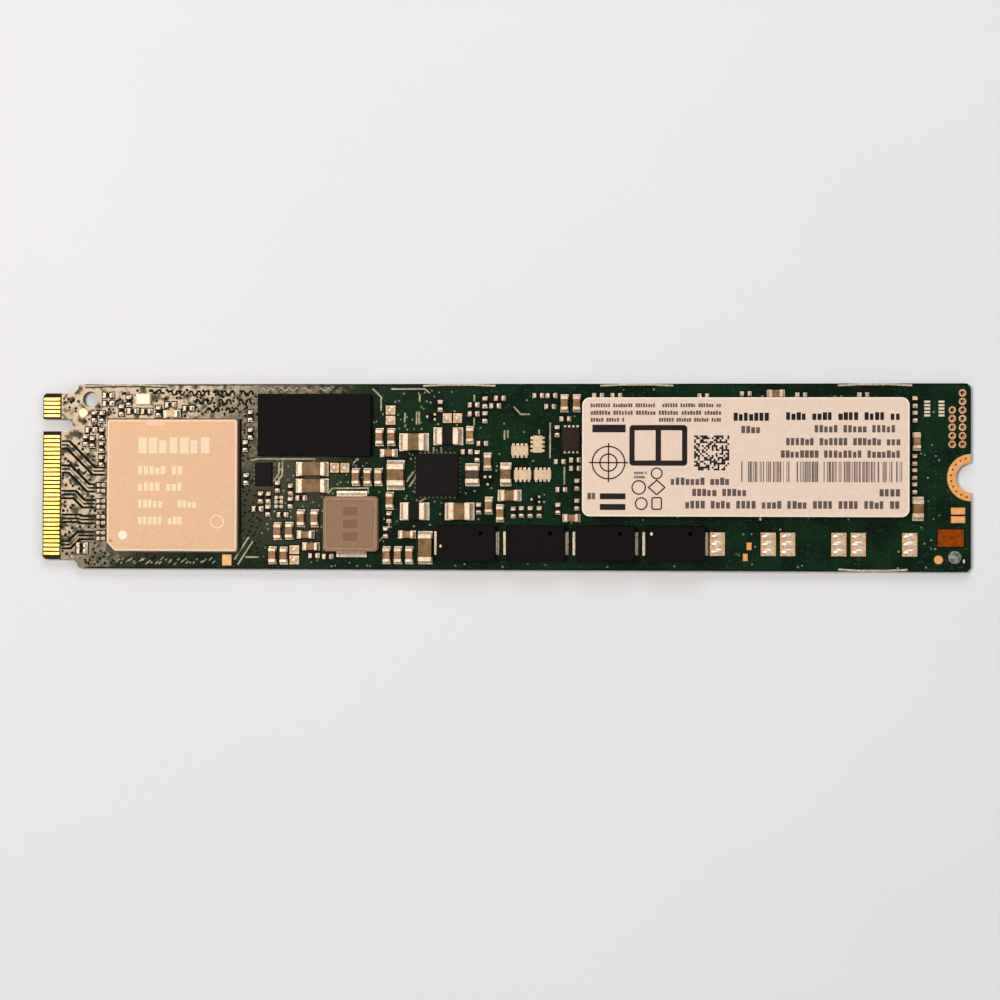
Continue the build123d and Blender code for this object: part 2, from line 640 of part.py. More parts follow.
# Power inductor: a moulded block with a grooved top, on two folded terminals
inductor_bottom = land_top + INDUCTOR_TERMINAL_SHEET
with BuildPart() as inductor_core:
    with Locations((inductor_x, INDUCTOR_ACROSS, inductor_bottom)):
        Box(INDUCTOR_SIZE, INDUCTOR_SIZE, INDUCTOR_HEIGHT, align=(Align.CENTER, Align.CENTER, Align.MIN))
    fillet(inductor_core.edges().filter_by(Axis.Z), INDUCTOR_CORNER)
    fillet(inductor_core.faces().sort_by(Axis.Z)[-1].edges(), INDUCTOR_EDGE)
    groove_outer = INDUCTOR_SIZE - 2 * INDUCTOR_GROOVE_INSET
    groove_inner = groove_outer - 2 * INDUCTOR_GROOVE_WIDTH
    with BuildSketch(Plane.XY.offset(inductor_bottom + INDUCTOR_HEIGHT)):
        with Locations((inductor_x, INDUCTOR_ACROSS)):
            Rectangle(groove_outer, groove_outer)
            Rectangle(groove_inner, groove_inner, mode=Mode.SUBTRACT)
    extrude(amount=-INDUCTOR_GROOVE_DEPTH, mode=Mode.SUBTRACT)
save(inductor_core.part, "inductor_core")
with BuildPart() as inductor_terminals:
    for turn in (90, -90):
        with Locations(Location((inductor_x, INDUCTOR_ACROSS, land_top), (0, 0, turn))):
            with Locations((INDUCTOR_SIZE / 2 - INDUCTOR_TERMINAL_FOOT, 0, 0)):
                Box(
                    INDUCTOR_TERMINAL_FOOT + INDUCTOR_TERMINAL_SHEET,
                    INDUCTOR_TERMINAL_WIDTH,
                    INDUCTOR_TERMINAL_SHEET,
                    align=(Align.MIN, Align.CENTER, Align.MIN),
                )
            with Locations((INDUCTOR_SIZE / 2, 0, 0)):
                Box(
                    INDUCTOR_TERMINAL_SHEET,
                    INDUCTOR_TERMINAL_WIDTH,
                    INDUCTOR_TERMINAL_RISE,
                    align=(Align.MIN, Align.CENTER, Align.MIN),
                )
save(inductor_terminals.part, "inductor_terminals")

# Polymer capacitors: moulded cases, drafted both ways from the parting line, on folded leads
polymer_case_length = POLYMER_LENGTH - 2 * POLYMER_LEAD_SHEET
polymer_bottom = land_top + POLYMER_LEAD_SHEET
parting = land_top + POLYMER_LEAD_RISE
polymer_top = land_top + POLYMER_HEIGHT
for number, x in enumerate(polymer_centres, start=1):
    with BuildPart() as polymer_capacitor:
        with BuildSketch(Plane.XY.offset(parting)) as case_outline:
            with Locations((x, POLYMER_ACROSS)):
                Rectangle(polymer_case_length, POLYMER_WIDTH)
        extrude(amount=polymer_top - parting, taper=POLYMER_DRAFT)
        extrude(case_outline.sketch, amount=polymer_bottom - parting, taper=POLYMER_DRAFT)
        upper_edges = polymer_capacitor.faces().sort_by(Axis.Z)[-1].edges()
        chamfer(upper_edges, PACKAGE_EDGE)
    save(polymer_capacitor.part, f"polymer_capacitor_{number}")
with BuildPart() as polymer_leads:
    for x in polymer_centres:
        for turn in (0, 180):
            with Locations(Location((x, POLYMER_ACROSS, land_top), (0, 0, turn))):
                with Locations((POLYMER_LENGTH / 2, 0, 0)):
                    Box(
                        POLYMER_LEAD_FOOT,
                        POLYMER_LEAD_WIDTH,
                        POLYMER_LEAD_SHEET,
                        align=(Align.MAX, Align.CENTER, Align.MIN),
                    )
                    Box(
                        POLYMER_LEAD_SHEET,
                        POLYMER_LEAD_WIDTH,
                        POLYMER_LEAD_RISE,
                        align=(Align.MAX, Align.CENTER, Align.MIN),
                    )
save(polymer_leads.part, "polymer_capacitor_leads")

# Chip parts, sharing a node with others of their kind and size
for name, chip, places in (
    ("chip_inductor_brown", CHIP_2520, brown_inductor_places),
    ("chip_inductor_dark", CHIP_2520, dark_inductor_places),
    ("chip_inductor_small", CHIP_2016, small_inductor_places),
    ("capacitor_1206", CHIP_1206, places_1206),
    ("capacitor_0805", CHIP_0805, places_0805),
    ("capacitor_0603", CHIP_0603, places_0603),
    ("filter_chip", CHIP_0603, filter_places),
    ("resistor_0402", CHIP_0402, resistor_places),
    ("capacitor_0201", CHIP_0201, places_0201),
):
    save(chip_bodies(chip, places), f"{name}_bodies")
    save(chip_ends(chip, places), f"{name}_ends")

# Resistor arrays: a flat body with a row of ends along each long side
array_pitch = ARRAY_LENGTH / ARRAY_WAYS
array_reach = ARRAY_WIDTH / 2 + ARRAY_END_LENGTH / 2
with BuildPart() as resistor_array_bodies:
    with Locations(*array_places):
        Box(ARRAY_LENGTH, ARRAY_WIDTH, ARRAY_HEIGHT, align=(Align.CENTER, Align.CENTER, Align.MIN))
save(resistor_array_bodies.part, "resistor_array_bodies")
with BuildPart() as resistor_array_ends:
    with Locations(*array_places):
        with GridLocations(array_pitch, 2 * array_reach, ARRAY_WAYS, 2):
            Box(
                ARRAY_END_WIDTH,
                ARRAY_END_LENGTH,
                ARRAY_HEIGHT,
                align=(Align.CENTER, Align.CENTER, Align.MIN),
            )
save(resistor_array_ends.part, "resistor_array_ends")

# Transistors: two leads on one side and one on the other
transistor_reach = TRANSISTOR_WIDTH / 2 + TRANSISTOR_LEAD_LENGTH / 2
transistor_leads_at = [
    (-TRANSISTOR_LEAD_SPACING / 2, -transistor_reach, 0),
    (TRANSISTOR_LEAD_SPACING / 2, -transistor_reach, 0),
    (0, transistor_reach, 0),
]
with BuildPart() as transistor_bodies:
    with Locations(*transistor_places):
        Box(
            TRANSISTOR_LENGTH,
            TRANSISTOR_WIDTH,
            TRANSISTOR_HEIGHT,
            align=(Align.CENTER, Align.CENTER, Align.MIN),
        )
save(transistor_bodies.part, "transistor_bodies")
with BuildPart() as transistor_leads:
    with Locations(*transistor_places):
        with Locations(*transistor_leads_at):
            Box(
                TRANSISTOR_LEAD_WIDTH,
                TRANSISTOR_LEAD_LENGTH,
                TRANSISTOR_LEAD_HEIGHT,
                align=(Align.CENTER, Align.CENTER, Align.MIN),
            )
save(transistor_leads.part, "transistor_leads")

# Crystal: a ceramic base with a metal lid
crystal_at = (controller_left + CRYSTAL[0], controller_top + CRYSTAL[1])
with BuildPart() as crystal_base:
    with Locations((crystal_at[0], crystal_at[1], board_top)):
        Box(
            CRYSTAL_LENGTH, CRYSTAL_WIDTH, CRYSTAL_BASE_HEIGHT, align=(Align.CENTER, Align.CENTER, Align.MIN)
        )
save(crystal_base.part, "crystal_base")
save(
    block(
        CRYSTAL_LENGTH - 2 * CRYSTAL_LID_MARGIN,
        CRYSTAL_WIDTH - 2 * CRYSTAL_LID_MARGIN,
        CRYSTAL_LID_HEIGHT,
        crystal_at[0],
        crystal_at[1],
        board_top + CRYSTAL_BASE_HEIGHT,
        CRYSTAL_LID_MARGIN,
    ),
    "crystal_lid",
)

# Lands: tinned copper under the metal ends of every chip part, inductor and polymer capacitor
with BuildPart() as component_lands:
    with BuildSketch(Plane.XY.offset(board_top)):
        for chip, places in (
            (CHIP_2520, brown_inductor_places + dark_inductor_places),
            (CHIP_2016, small_inductor_places),
            (CHIP_1206, places_1206),
            (CHIP_0805, places_0805),
            (CHIP_0603, places_0603 + filter_places),
            (CHIP_0402, resistor_places),
            (CHIP_0201, places_0201),
        ):
            reach = (chip.length - chip.end + chip.toe) / 2
            with Locations(*places):
                with Locations((-reach, 0), (reach, 0)):
                    Rectangle(chip.end + chip.toe, chip.width + 2 * LAND_SIDE)
        with Locations(*array_places):
            with GridLocations(array_pitch, 2 * array_reach, ARRAY_WAYS, 2):
                Rectangle(ARRAY_END_WIDTH, 2 * ARRAY_END_LENGTH)
        with Locations(*transistor_places):
            with Locations(*[(x, y) for x, y, z in transistor_leads_at]):
                Rectangle(TRANSISTOR_LEAD_WIDTH + LAND_SIDE, TRANSISTOR_LEAD_LENGTH + LAND_SIDE)
        inductor_land = INDUCTOR_TERMINAL_FOOT + INDUCTOR_TERMINAL_SHEET + INDUCTOR_LAND_TOE
        inductor_reach = INDUCTOR_SIZE / 2 - INDUCTOR_TERMINAL_FOOT + inductor_land / 2
        with Locations((inductor_x, INDUCTOR_ACROSS)):
            with Locations((0, -inductor_reach), (0, inductor_reach)):
                Rectangle(INDUCTOR_TERMINAL_WIDTH + 2 * LAND_SIDE, inductor_land)
        with Locations(*[(x, POLYMER_ACROSS) for x in polymer_centres]):
            with Locations((-polymer_land_reach, 0), (polymer_land_reach, 0)):
                Rectangle(POLYMER_LAND_LENGTH, POLYMER_LAND_WIDTH)
    extrude(amount=LAND_THICKNESS)
save(component_lands.part, "component_lands")

# Reserve lands: solder-coated places for parts that this card doesn't carry
with BuildPart() as reserve_lands:
    with BuildSketch(Plane.XY.offset(board_top)):
        with Locations(*[(x, POLYMER_ACROSS) for x in reserve_centres]):
            with Locations((-polymer_land_reach, 0), (polymer_land_reach, 0)):
                Rectangle(POLYMER_LAND_LENGTH, POLYMER_LAND_WIDTH)
        pair_reach = (PAIR_LAND_LENGTH + PAIR_LAND_GAP) / 2
        with Locations(*land_pair_places):
            with Locations((-pair_reach, 0), (pair_reach, 0)):
                Rectangle(PAIR_LAND_LENGTH, PAIR_LAND_WIDTH)
        with Locations((card_end - TEST_DISC[0], lower_edge + TEST_DISC[1])):
            Circle(TEST_DISC_RADIUS)
    extrude(amount=RESERVE_LAND_THICKNESS)
save(reserve_lands.part, "reserve_lands")

# Test pads: bare gold-plated copper
patch_top = lower_edge + COPPER_PATCH[1] + COPPER_PATCH_WIDTH / 2
with BuildPart() as test_pads:
    with BuildSketch(Plane.XY.offset(board_top)):
        with Locations((card_end - TEST_PADS_INWARD, (patch_top - SCREW_PAD_RADIUS) / 2)):
            with GridLocations(0, TEST_PAD_PITCH, 1, 2):
                Rectangle(TEST_PAD_LENGTH, TEST_PAD_WIDTH)
        with Locations(
            (controller_left - FIDUCIAL_BY_CONNECTOR[0], FIDUCIAL_BY_CONNECTOR[1]),
            (card_end - FIDUCIAL_BY_END[0], lower_edge + FIDUCIAL_BY_END[1]),
        ):
            Circle(FIDUCIAL_RADIUS)
        with Locations((controller_right - CONTROLLER_PAD[0], CONTROLLER_PAD[1])):
            Rectangle(*CONTROLLER_PAD_SIZE)
        with Locations(*[(first_reserve + along, across) for along, across in MARK_PADS]):
            Rectangle(*MARK_PAD_SIZE)
        for column in SPARE_PAD_COLUMNS:
            with Locations((label_right + column * tail_step, SPARE_PAD_ACROSS)):
                with GridLocations(0, SPARE_PAD_PITCH, 1, SPARE_PAD_ROWS):
                    Rectangle(SPARE_PAD_LENGTH, SPARE_PAD_WIDTH)
    extrude(amount=LAND_THICKNESS)
save(test_pads.part, "test_pads")
with BuildPart() as copper_patch:
    with Locations((card_end - COPPER_PATCH[0], lower_edge + COPPER_PATCH[1], board_top)):
        Box(
            COPPER_PATCH_LENGTH,
            COPPER_PATCH_WIDTH,
            LAND_THICKNESS,
            align=(Align.CENTER, Align.CENTER, Align.MIN),
        )
save(copper_patch.part, "copper_patch")
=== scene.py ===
"""Looks of a plug-in solid-state drive card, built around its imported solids. Sizes are in millimetres
unless a name says otherwise, and places are measured from the middle of the card, as the solids are."""

import math
from typing import NamedTuple

import bpy
import numpy as np
from mathutils import Matrix, Vector


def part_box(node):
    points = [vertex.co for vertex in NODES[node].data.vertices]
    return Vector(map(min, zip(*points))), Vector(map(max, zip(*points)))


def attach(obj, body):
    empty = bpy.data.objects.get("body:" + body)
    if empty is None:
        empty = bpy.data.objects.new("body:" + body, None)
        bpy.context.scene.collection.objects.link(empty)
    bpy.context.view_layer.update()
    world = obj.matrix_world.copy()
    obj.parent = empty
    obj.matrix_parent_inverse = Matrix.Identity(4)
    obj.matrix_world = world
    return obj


bl_info = {
    "name": "Drive card looks",
    "version": (1, 0, 0),
    "blender": (4, 5, 0),
    "location": "View3D > Sidebar > Drive card",
    "description": "Dresses the solids of a plug-in solid-state drive card",
    "category": "Object",
}

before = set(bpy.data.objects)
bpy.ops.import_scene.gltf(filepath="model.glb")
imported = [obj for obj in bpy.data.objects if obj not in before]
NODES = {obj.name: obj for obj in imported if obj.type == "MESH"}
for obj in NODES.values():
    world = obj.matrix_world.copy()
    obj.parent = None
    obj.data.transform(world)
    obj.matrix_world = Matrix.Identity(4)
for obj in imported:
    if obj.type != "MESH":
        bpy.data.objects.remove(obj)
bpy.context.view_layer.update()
MM = 0.001

# Where the card's own faces are, read from the solids
BOARD_LOW, BOARD_HIGH = np.array(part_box("circuit_board")) / MM
BOARD_TOP = BOARD_HIGH[2]
TIP, CARD_END = BOARD_LOW[0], BOARD_HIGH[0]
LAND_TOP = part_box("component_lands")[1][2] / MM
LABEL_LOW, LABEL_HIGH = np.array(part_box("label")) / MM
LID_LOW, LID_HIGH = np.array(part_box("controller_lid")) / MM

# Pairs of copper lines from the contacts: place across the card at the contacts and at the far end, and
# distance from the tip to the bend and to the far end
PAIRS = [
    (3.75, 0.62, 3.1, 7.6),
    (0.85, -1.4, 3.3, 6.4),
    (-2.2, -3.3, 3.9, 6.4),
    (-5.05, -5.2, 4.5, 6.4),
    (-8.2, -7.1, 3.3, 6.4),
]
# Where the pairs start, how far apart the lines of a pair are, and the dark channel that a pair runs in
PAIR_START = 2.3
PAIR_GAP = 0.42
PAIR_CHANNEL = 1.15
# Film of mask on each face of the board
MASK_FILM = 0.025
# Flux dried over the corner by the contacts: the slant of its front, and where along that slant it ends
# and where it is full
FLUX_SLANT = (1.0, -1.4, 0.0)
FLUX_END, FLUX_FULL = -31.0, -41.0
# Roughness of clean mask, of dried flux and of bare laminate
MASK_ROUGH, FLUX_ROUGH, BARE_ROUGH = 0.08, 0.5, 0.8
# The glass weave's thread spacing, the scale that draws its dashes longer than wide, and waves in the mask
THREAD = 0.3
DASH_SCALE = (0.45, 1.0, 1.0)
MASK_WAVES = 0.7
# From its middle, how far a contact's painted highlight reaches, and where the painted shade of its sides
# begins
PAINTED_HIGHLIGHT_END, PAINTED_SHADE_START = 0.06, 0.17
# Pads further along and across the card than this are tinned
TINNED_FROM = (45, 6)
# Points in the arc of a rounded corner, and steps round a circle
ARC_POINTS = 7
CIRCLE_STEPS = 48
# Steps in a metre to which corners are rounded when they are compared
CORNER_STEPS = 1e7
# A ridge is stretched at a bend by one over the cosine of half the bend, which counts as this at least
LEAST_COSINE = 0.4


# Mesh helpers


def piece(name, shape, material):
    """A mesh that rides on the card, from a shape's points in millimetres and lists of face corners."""
    points, faces = shape
    mesh = bpy.data.meshes.new(name)
    mesh.from_pydata((points * MM).tolist(), [], faces)
    mesh.materials.append(material)
    obj = bpy.data.objects.new(name, mesh)
    bpy.context.scene.collection.objects.link(obj)
    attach(obj, "root")
    return obj


def solid_boxes(node):
    """Lowest and highest corners, in millimetres, of a node's separate solids. Points at one place are
    one corner, and each corner takes the lowest number among its neighbours until none changes."""
    mesh = NODES[node].data
    points = np.empty(len(mesh.vertices) * 3)
    mesh.vertices.foreach_get("co", points)
    points = points.reshape(-1, 3)
    edges = np.empty(len(mesh.edges) * 2, dtype=int)
    mesh.edges.foreach_get("vertices", edges)
    _, corner = np.unique(np.round(points * CORNER_STEPS).astype(int), axis=0, return_inverse=True)
    corner = corner.ravel()
    pairs = corner[edges.reshape(-1, 2)]
    number = np.arange(corner.max() + 1)
    changed = True
    while changed:
        before = number.copy()
        np.minimum.at(number, pairs[:, 0], number[pairs[:, 1]])
        np.minimum.at(number, pairs[:, 1], number[pairs[:, 0]])
        number = number[number]
        changed = (number != before).any()
    _, solid = np.unique(number[corner], return_inverse=True)
    low = np.full((solid.max() + 1, 3), np.inf)
    high = -low
    np.minimum.at(low, solid, points / MM)
    np.maximum.at(high, solid, points / MM)
    return low, high


def all_boxes(names):
    """The lowest and highest corners of the solids of several nodes, one after another."""
    boxes = [solid_boxes(name) for name in names]
    return (np.concatenate(corners) for corners in zip(*boxes))


def bars(boxes, level, rise):
    """Upright bars from rows of (left, lower, right, upper): each has four corners at two heights."""
    boxes = np.asarray(boxes, dtype=float)
    flat = np.stack([boxes[:, [0, 2, 2, 0]], boxes[:, [1, 1, 3, 3]]], axis=-1)
    heights = np.full((len(boxes), 4), level)
    low, high = np.dstack([flat, heights]), np.dstack([flat, heights + rise])
    points = np.concatenate([low, high], axis=1).reshape(-1, 3)
    sides = [(3, 2, 1, 0), (4, 5, 6, 7), (0, 1, 5, 4), (1, 2, 6, 5), (2, 3, 7, 6), (3, 0, 4, 7)]
    faces = (np.arange(len(boxes))[:, None, None] * 8 + np.array(sides)[None]).reshape(-1, 4)
    return points, faces.tolist()


def ribbons(paths, widths, level, rise):
    """A flat-topped ridge carried along each path, with one width or those of its base and top. At each
    point its four corners stand across the mean of the directions before and after, stretched at a bend
    so that the ridge keeps its width."""
    points, faces, start = [], [], 0
    base, top = np.broadcast_to(widths, 2)
    across = np.array([-base, -top, top, base]) / 2
    lift = level + np.array([0, rise, rise, 0])
    for path in paths:
        path = np.asarray(path, dtype=float)
        step = np.diff(path, axis=0)
        step /= np.linalg.norm(step, axis=1)[:, None]
        ahead = np.vstack([step[:1], step[:-1] + step[1:], step[-1:]])
        ahead /= np.linalg.norm(ahead, axis=1)[:, None]
        stretch = 1 / np.maximum((ahead * np.vstack([step, step[-1:]])).sum(axis=1), LEAST_COSINE)
        side = np.stack([-ahead[:, 1], ahead[:, 0]], axis=1) * stretch[:, None]
        flat = path[:, None, :] + side[:, None, :] * across[None, :, None]
        height = np.broadcast_to(lift, flat.shape[:2])
        points.append(np.dstack([flat, height]).reshape(-1, 3))
        grid = start + np.arange(len(path) * 4).reshape(-1, 4)
        upper = np.stack([grid[:-1, :-1], grid[1:, :-1], grid[1:, 1:], grid[:-1, 1:]], axis=-1)
        lower = np.stack([grid[:-1, 0], grid[:-1, 3], grid[1:, 3], grid[1:, 0]], axis=-1)
        faces += upper.reshape(-1, 4).tolist() + lower.tolist()
        faces += [grid[0].tolist(), grid[-1, ::-1].tolist()]
        start += len(path) * 4
    return np.concatenate(points), faces


def mounds(centres, half_sizes, radii, lifts, level, sides):
    """Round mounds: ellipses about each centre, at these shares of its half sizes and these heights, with
    the last one closed flat. A mound whose last radius is small comes nearly to a point."""
    centres = np.asarray(centres, dtype=float)
    half_sizes = np.broadcast_to(half_sizes, centres.shape)[:, None, None]
    turn = np.arange(sides) * 2 * math.pi / sides
    circle = np.stack([np.cos(turn), np.sin(turn)], axis=1)
    flat = centres[:, None, None] + half_sizes * circle * np.array(radii)[None, :, None, None]
    rise = np.reshape(level, (-1, 1, 1)) + np.array(lifts)[None, :, None]
    height = np.broadcast_to(rise, flat.shape[:3])
    points = np.concatenate([flat, height[..., None]], axis=-1).reshape(-1, 3)
    ring = np.arange(len(radii) * sides).reshape(len(radii), sides)
    after = np.roll(ring, -1, axis=1)
    walls = np.stack([ring[:-1], after[:-1], after[1:], ring[1:]], axis=-1).reshape(-1, 4)
    first = np.arange(len(centres)) * ring.size
    faces = (first[:, None, None] + walls[None]).reshape(-1, 4).tolist()
    faces += (first[:, None] + ring[-1][None]).tolist()
    faces += (first[:, None] + ring[0, ::-1][None]).tolist()
    return points, faces


def frame_path(left, lower, right, upper, radius):
    """A closed rectangle with rounded corners, started and ended halfway along its lower side. Each corner
    is a quarter circle about a point one radius in from both of its sides."""
    turn = np.radians(-90 + 90 * np.arange(4)[:, None] + np.linspace(0, 90, ARC_POINTS))
    x = np.array([right, right, left, left]) + radius * np.array([-1, -1, 1, 1])
    y = np.array([lower, upper, upper, lower]) + radius * np.array([1, -1, -1, 1])
    arcs = np.stack([x[:, None] + radius * np.cos(turn), y[:, None] + radius * np.sin(turn)], axis=-1)
    start = [((left + right) / 2, lower)]
    return np.concatenate([start, arcs.reshape(-1, 2), start])


def circle_path(x, y, radius):
    """Points round a circle, the last on the first."""
    turn = np.linspace(0, 2 * math.pi, CIRCLE_STEPS + 1)
    return np.stack([x + radius * np.cos(turn), y + radius * np.sin(turn)], axis=1)


def pair_paths():
    """The middle of each pair of copper lines: straight, then at 45 degrees, then straight again."""
    paths = [
        [(PAIR_START, start), (bend, start), (bend + abs(start - end), end), (reach, end)]
        for start, end, bend, reach in PAIRS
    ]
    return [np.array(path) + (TIP, 0) for path in paths]


def ease(names, width, segments=2):
    """Round the edges of CAD nodes with a bevel of this width, after merging their loose corners."""
    for name in names:
        weld = NODES[name].modifiers.new("merge", "WELD")
        weld.merge_threshold = 1e-6
        bevel = NODES[name].modifiers.new("ease", "BEVEL")
        bevel.width = width * MM
        bevel.segments = segments
        bevel.limit_method = "ANGLE"
        bevel.angle_limit = math.radians(40)


def dress(names, material):
    """Give CAD nodes this one material."""
    for name in names:
        NODES[name].data.materials.clear()
        NODES[name].data.materials.append(material)


# Materials


class Look(NamedTuple):
    """A finish of two near colours in grains of one size in millimetres, with bumps of the same grain. The
    finest grains are drawn coarser than the real ones, so that they show. A wall is the colour inside the
    board's thickness, where it is another one."""

    dark: str
    light: str
    grain: float
    roughness: float
    bump: float = 0.0
    shine: float = 0.5
    metallic: float = 0.0
    ior: float = 1.5
    wall: str = None


FINISHES = {
    # Torn glass fibre and resin: pale, rough and uneven
    "broken_laminate": Look("#a5967a", "#e8dcc4", 0.3, 0.8, bump=0.3),
    # Bare glass-epoxy laminate: a dull, nearly black green. Along the edges and beside the scars it is
    # painted shade
    "painted_edge_shade": Look("#060a06", "#11160d", 0.2, 0.7, shine=0.1),
    # Round the lands this dark laminate is partly painted shade for the gaps round the parts
    "bare_laminate_and_shade": Look("#060905", "#10140c", 0.2, 0.7, shine=0.1),
    # Mask where no copper lies under it: darker, and duller than over copper
    "mask_over_laminate": Look("#040c08", "#0a1910", 0.4, 0.6, shine=0.06),
    # Mask worn thin on a raised line: the copper makes it pale
    "thin_mask_over_copper": Look("#7d7a58", "#c4b78f", 0.5, 0.35, ior=1.55),
    # Drilled holes under mask: dark pits near the contacts, whose darkness is painted shade, and pale dots
    # where they are plugged, whose paleness is a painted reflection of the side lights
    "via_pits_painted_shade": Look("#060f0a", "#13241a", 0.5, 0.5, shine=0.12),
    "via_plugs_painted_reflection": Look("#4a6650", "#8fa084", 0.5, 0.4, ior=1.55),
    # Gold thin enough that the copper below gives it a pink cast; the hole's wall inside the board is painted
    # nearly black as shade
    "thin_gold_with_painted_wall_shade": Look("#d08d5a", "#ffc796", 0.4, 0.4, wall="#0d0705", metallic=0.15),
    # Copper under clear resin: an even deep orange brown
    "resin_over_copper": Look("#7a3300", "#a34a02", 0.5, 0.55, shine=0.08),
    # Resin in a filled hole: a brown speck in the gold
    "filled_via": Look("#4d2a0c", "#7a4616", 0.1, 0.6),
    # Moulded epoxy with fine silica: nearly black and without gloss
    "black_mould_compound": Look("#060405", "#110c0e", 0.12, 0.62, bump=0.25, shine=0.1),
    # Moulded epoxy with coarse silica: pale grit shows in the black
    "coarse_mould_compound": Look("#050304", "#1e171a", 0.16, 0.62, bump=0.5, shine=0.12),
    # Moulded epoxy gone grey brown with age
    "grey_mould_compound": Look("#1f1813", "#3b3029", 0.16, 0.62, bump=0.4, shine=0.12),
    # Mark left by a mould's ejector pin: a smooth dark spot
    "ejector_mark": Look("#000000", "#020101", 0.2, 0.9, shine=0.0),
    # Nickel-plated copper, bead blasted: a soft even peach
    "nickel_plated_lid": Look("#d8b08c", "#e2bc98", 0.25, 0.5, bump=0.06, metallic=0.12, shine=0.4),
    # A painted highlight where the lid's rolled-over edge catches the light
    "painted_lid_highlight": Look("#f6d6b4", "#ffe6cc", 0.4, 0.45),
    # Plating burned off by a laser: pale and matt
    "laser_mark": Look("#f8e2bf", "#ffeccb", 0.3, 0.6),
    "pale_pin_dot": Look("#fff3dc", "#fffaf0", 0.3, 0.5),
    # A pale patch near the top of the lid, and a spot of brown flux
    "pale_lid_patch": Look("#ecc7a4", "#f6d8ba", 0.3, 0.5),
    "brown_stain": Look("#8f6743", "#c09670", 0.15, 0.6),
    # Glass-fibre package base: dark olive at the lid's foot
    "package_laminate": Look("#1d2a1c", "#2f3a28", 0.3, 0.5),
    # Coated paper: warm white, matt, with a faint fibre
    "label_paper": Look("#efd9c7", "#f5dfcf", 0.5, 0.65, bump=0.05, shine=0.3),
    # A painted highlight on the paper's cut edge: a thin pale line round the label
    "painted_paper_highlight": Look("#fff0dc", "#fff8ea", 0.5, 0.6),
    # Printing ink on paper: black where it is solid, grey where it is fine
    "printing_ink": Look("#151012", "#241c1f", 0.4, 0.6, shine=0.2),
    "soft_printing_ink": Look("#5a4f4b", "#6b5f5a", 0.4, 0.6, shine=0.2),
    # Pressed iron powder: an even brown with a fine grit, paler on edges and darker in pressed marks
    "pressed_powder": Look("#8a6b51", "#a48165", 0.14, 0.6, bump=0.25, shine=0.35),
    "pressed_powder_edge": Look("#9c7d62", "#c2a183", 0.18, 0.55, bump=0.3, shine=0.35),
    "pressed_powder_marks": Look("#775a43", "#8f6f57", 0.14, 0.6, bump=0.25, shine=0.3),
    # Fired ceramic: matt brown, a paler tan on the small parts
    "fired_ceramic": Look("#64461f", "#96703e", 0.9, 0.5, bump=0.2, shine=0.4),
    "tan_fired_ceramic": Look("#7d572f", "#b1855a", 0.6, 0.5, bump=0.2, shine=0.4),
    # Glaze over ferrite or resistor film: nearly black
    "dark_glaze": Look("#0c0908", "#1a1514", 0.2, 0.55, bump=0.2, shine=0.12),
    # Sintered ferrite: a dull grey brown
    "grey_ferrite": Look("#3b2e23", "#594838", 0.3, 0.55, bump=0.2, shine=0.3),
    # Unglazed alumina: a peach cream
    "pale_ceramic": Look("#d6b78e", "#efd6b2", 0.3, 0.6, bump=0.2),
    # Plated steel: bright, slightly yellow
    "bright_steel_lid": Look("#e6dcbe", "#f6eed2", 0.4, 0.45, metallic=0.2),
    # Matt tin on the ends of chips: cream, with soft streaks
    "matte_tin": Look("#cfb596", "#fdeace", 0.35, 0.42, bump=0.35, metallic=0.25),
    # Reflowed solder: bright and uneven, dull and grey where it was left rough, brown in a package's shade
    "bright_solder": Look("#c8b49c", "#fff2e0", 0.3, 0.3, bump=0.3, metallic=0.3),
    "dull_rough_solder": Look("#3c4043", "#a9adad", 0.35, 0.6, bump=0.8, metallic=0.2),
    "shaded_leads": Look("#3c342e", "#6b5d50", 0.2, 0.5, metallic=0.2),
    "gold_under_solder": Look("#d8a266", "#f2cb95", 0.5, 0.42, bump=0.2, metallic=0.2),
    # Dust and dried flux: white specks
    "pale_dust": Look("#d9d2c8", "#fff8ec", 0.1, 0.8),
}


def linear(colour):
    """A '#rrggbb' sRGB colour as linear red, green, blue and alpha."""
    srgb = np.array([int(colour[i : i + 2], 16) for i in (1, 3, 5)]) / 255
    straight = np.where(srgb <= 0.04045, srgb / 12.92, ((srgb + 0.055) / 1.055) ** 2.4)
    return (*straight.tolist(), 1.0)


def add(tree, kind, inputs, output=0, **settings):
    """Add a shader node with its settings, fill its sockets with values or links, and give one output."""
    node = tree.nodes.new("ShaderNode" + kind)
    for name, value in settings.items():
        setattr(node, name, value)
    for key, value in inputs.items():
        if isinstance(value, bpy.types.NodeSocket):
            tree.links.new(value, node.inputs[key])
        else:
            node.inputs[key].default_value = value
    return node.outputs[output]


# Depth of a material's bumps
BUMP_DEPTH = 0.02
# Sockets of a Mix node that blends colours: its factor, its two colours, and its result
FACTOR, FIRST, SECOND, MIXED = 0, 6, 7, 2


def surface(name, roughness, metallic=0.0, ior=1.5, shine=0.5):
    """A new material with its constants set, its node tree, its shader, and its Object coordinates."""
    material = bpy.data.materials.new(name)
    material.use_nodes = True
    tree = material.node_tree
    shader = tree.nodes["Principled BSDF"]
    shader.inputs["Roughness"].default_value = roughness
    shader.inputs["Metallic"].default_value = metallic
    shader.inputs["IOR"].default_value = ior
    shader.inputs["Specular IOR Level"].default_value = shine
    return material, tree, shader, add(tree, "TexCoord", {}, "Object")


def clouds(tree, where, size, low, high, detail=2.0):
    """Noise in clouds of this size in millimetres: its share of the way from low to high, and itself."""
    noise = add(tree, "TexNoise", {"Vector": where, "Scale": 1 / (size * MM), "Detail": detail})
    return add(tree, "MapRange", {"Value": noise, "From Min": low, "From Max": high}), noise


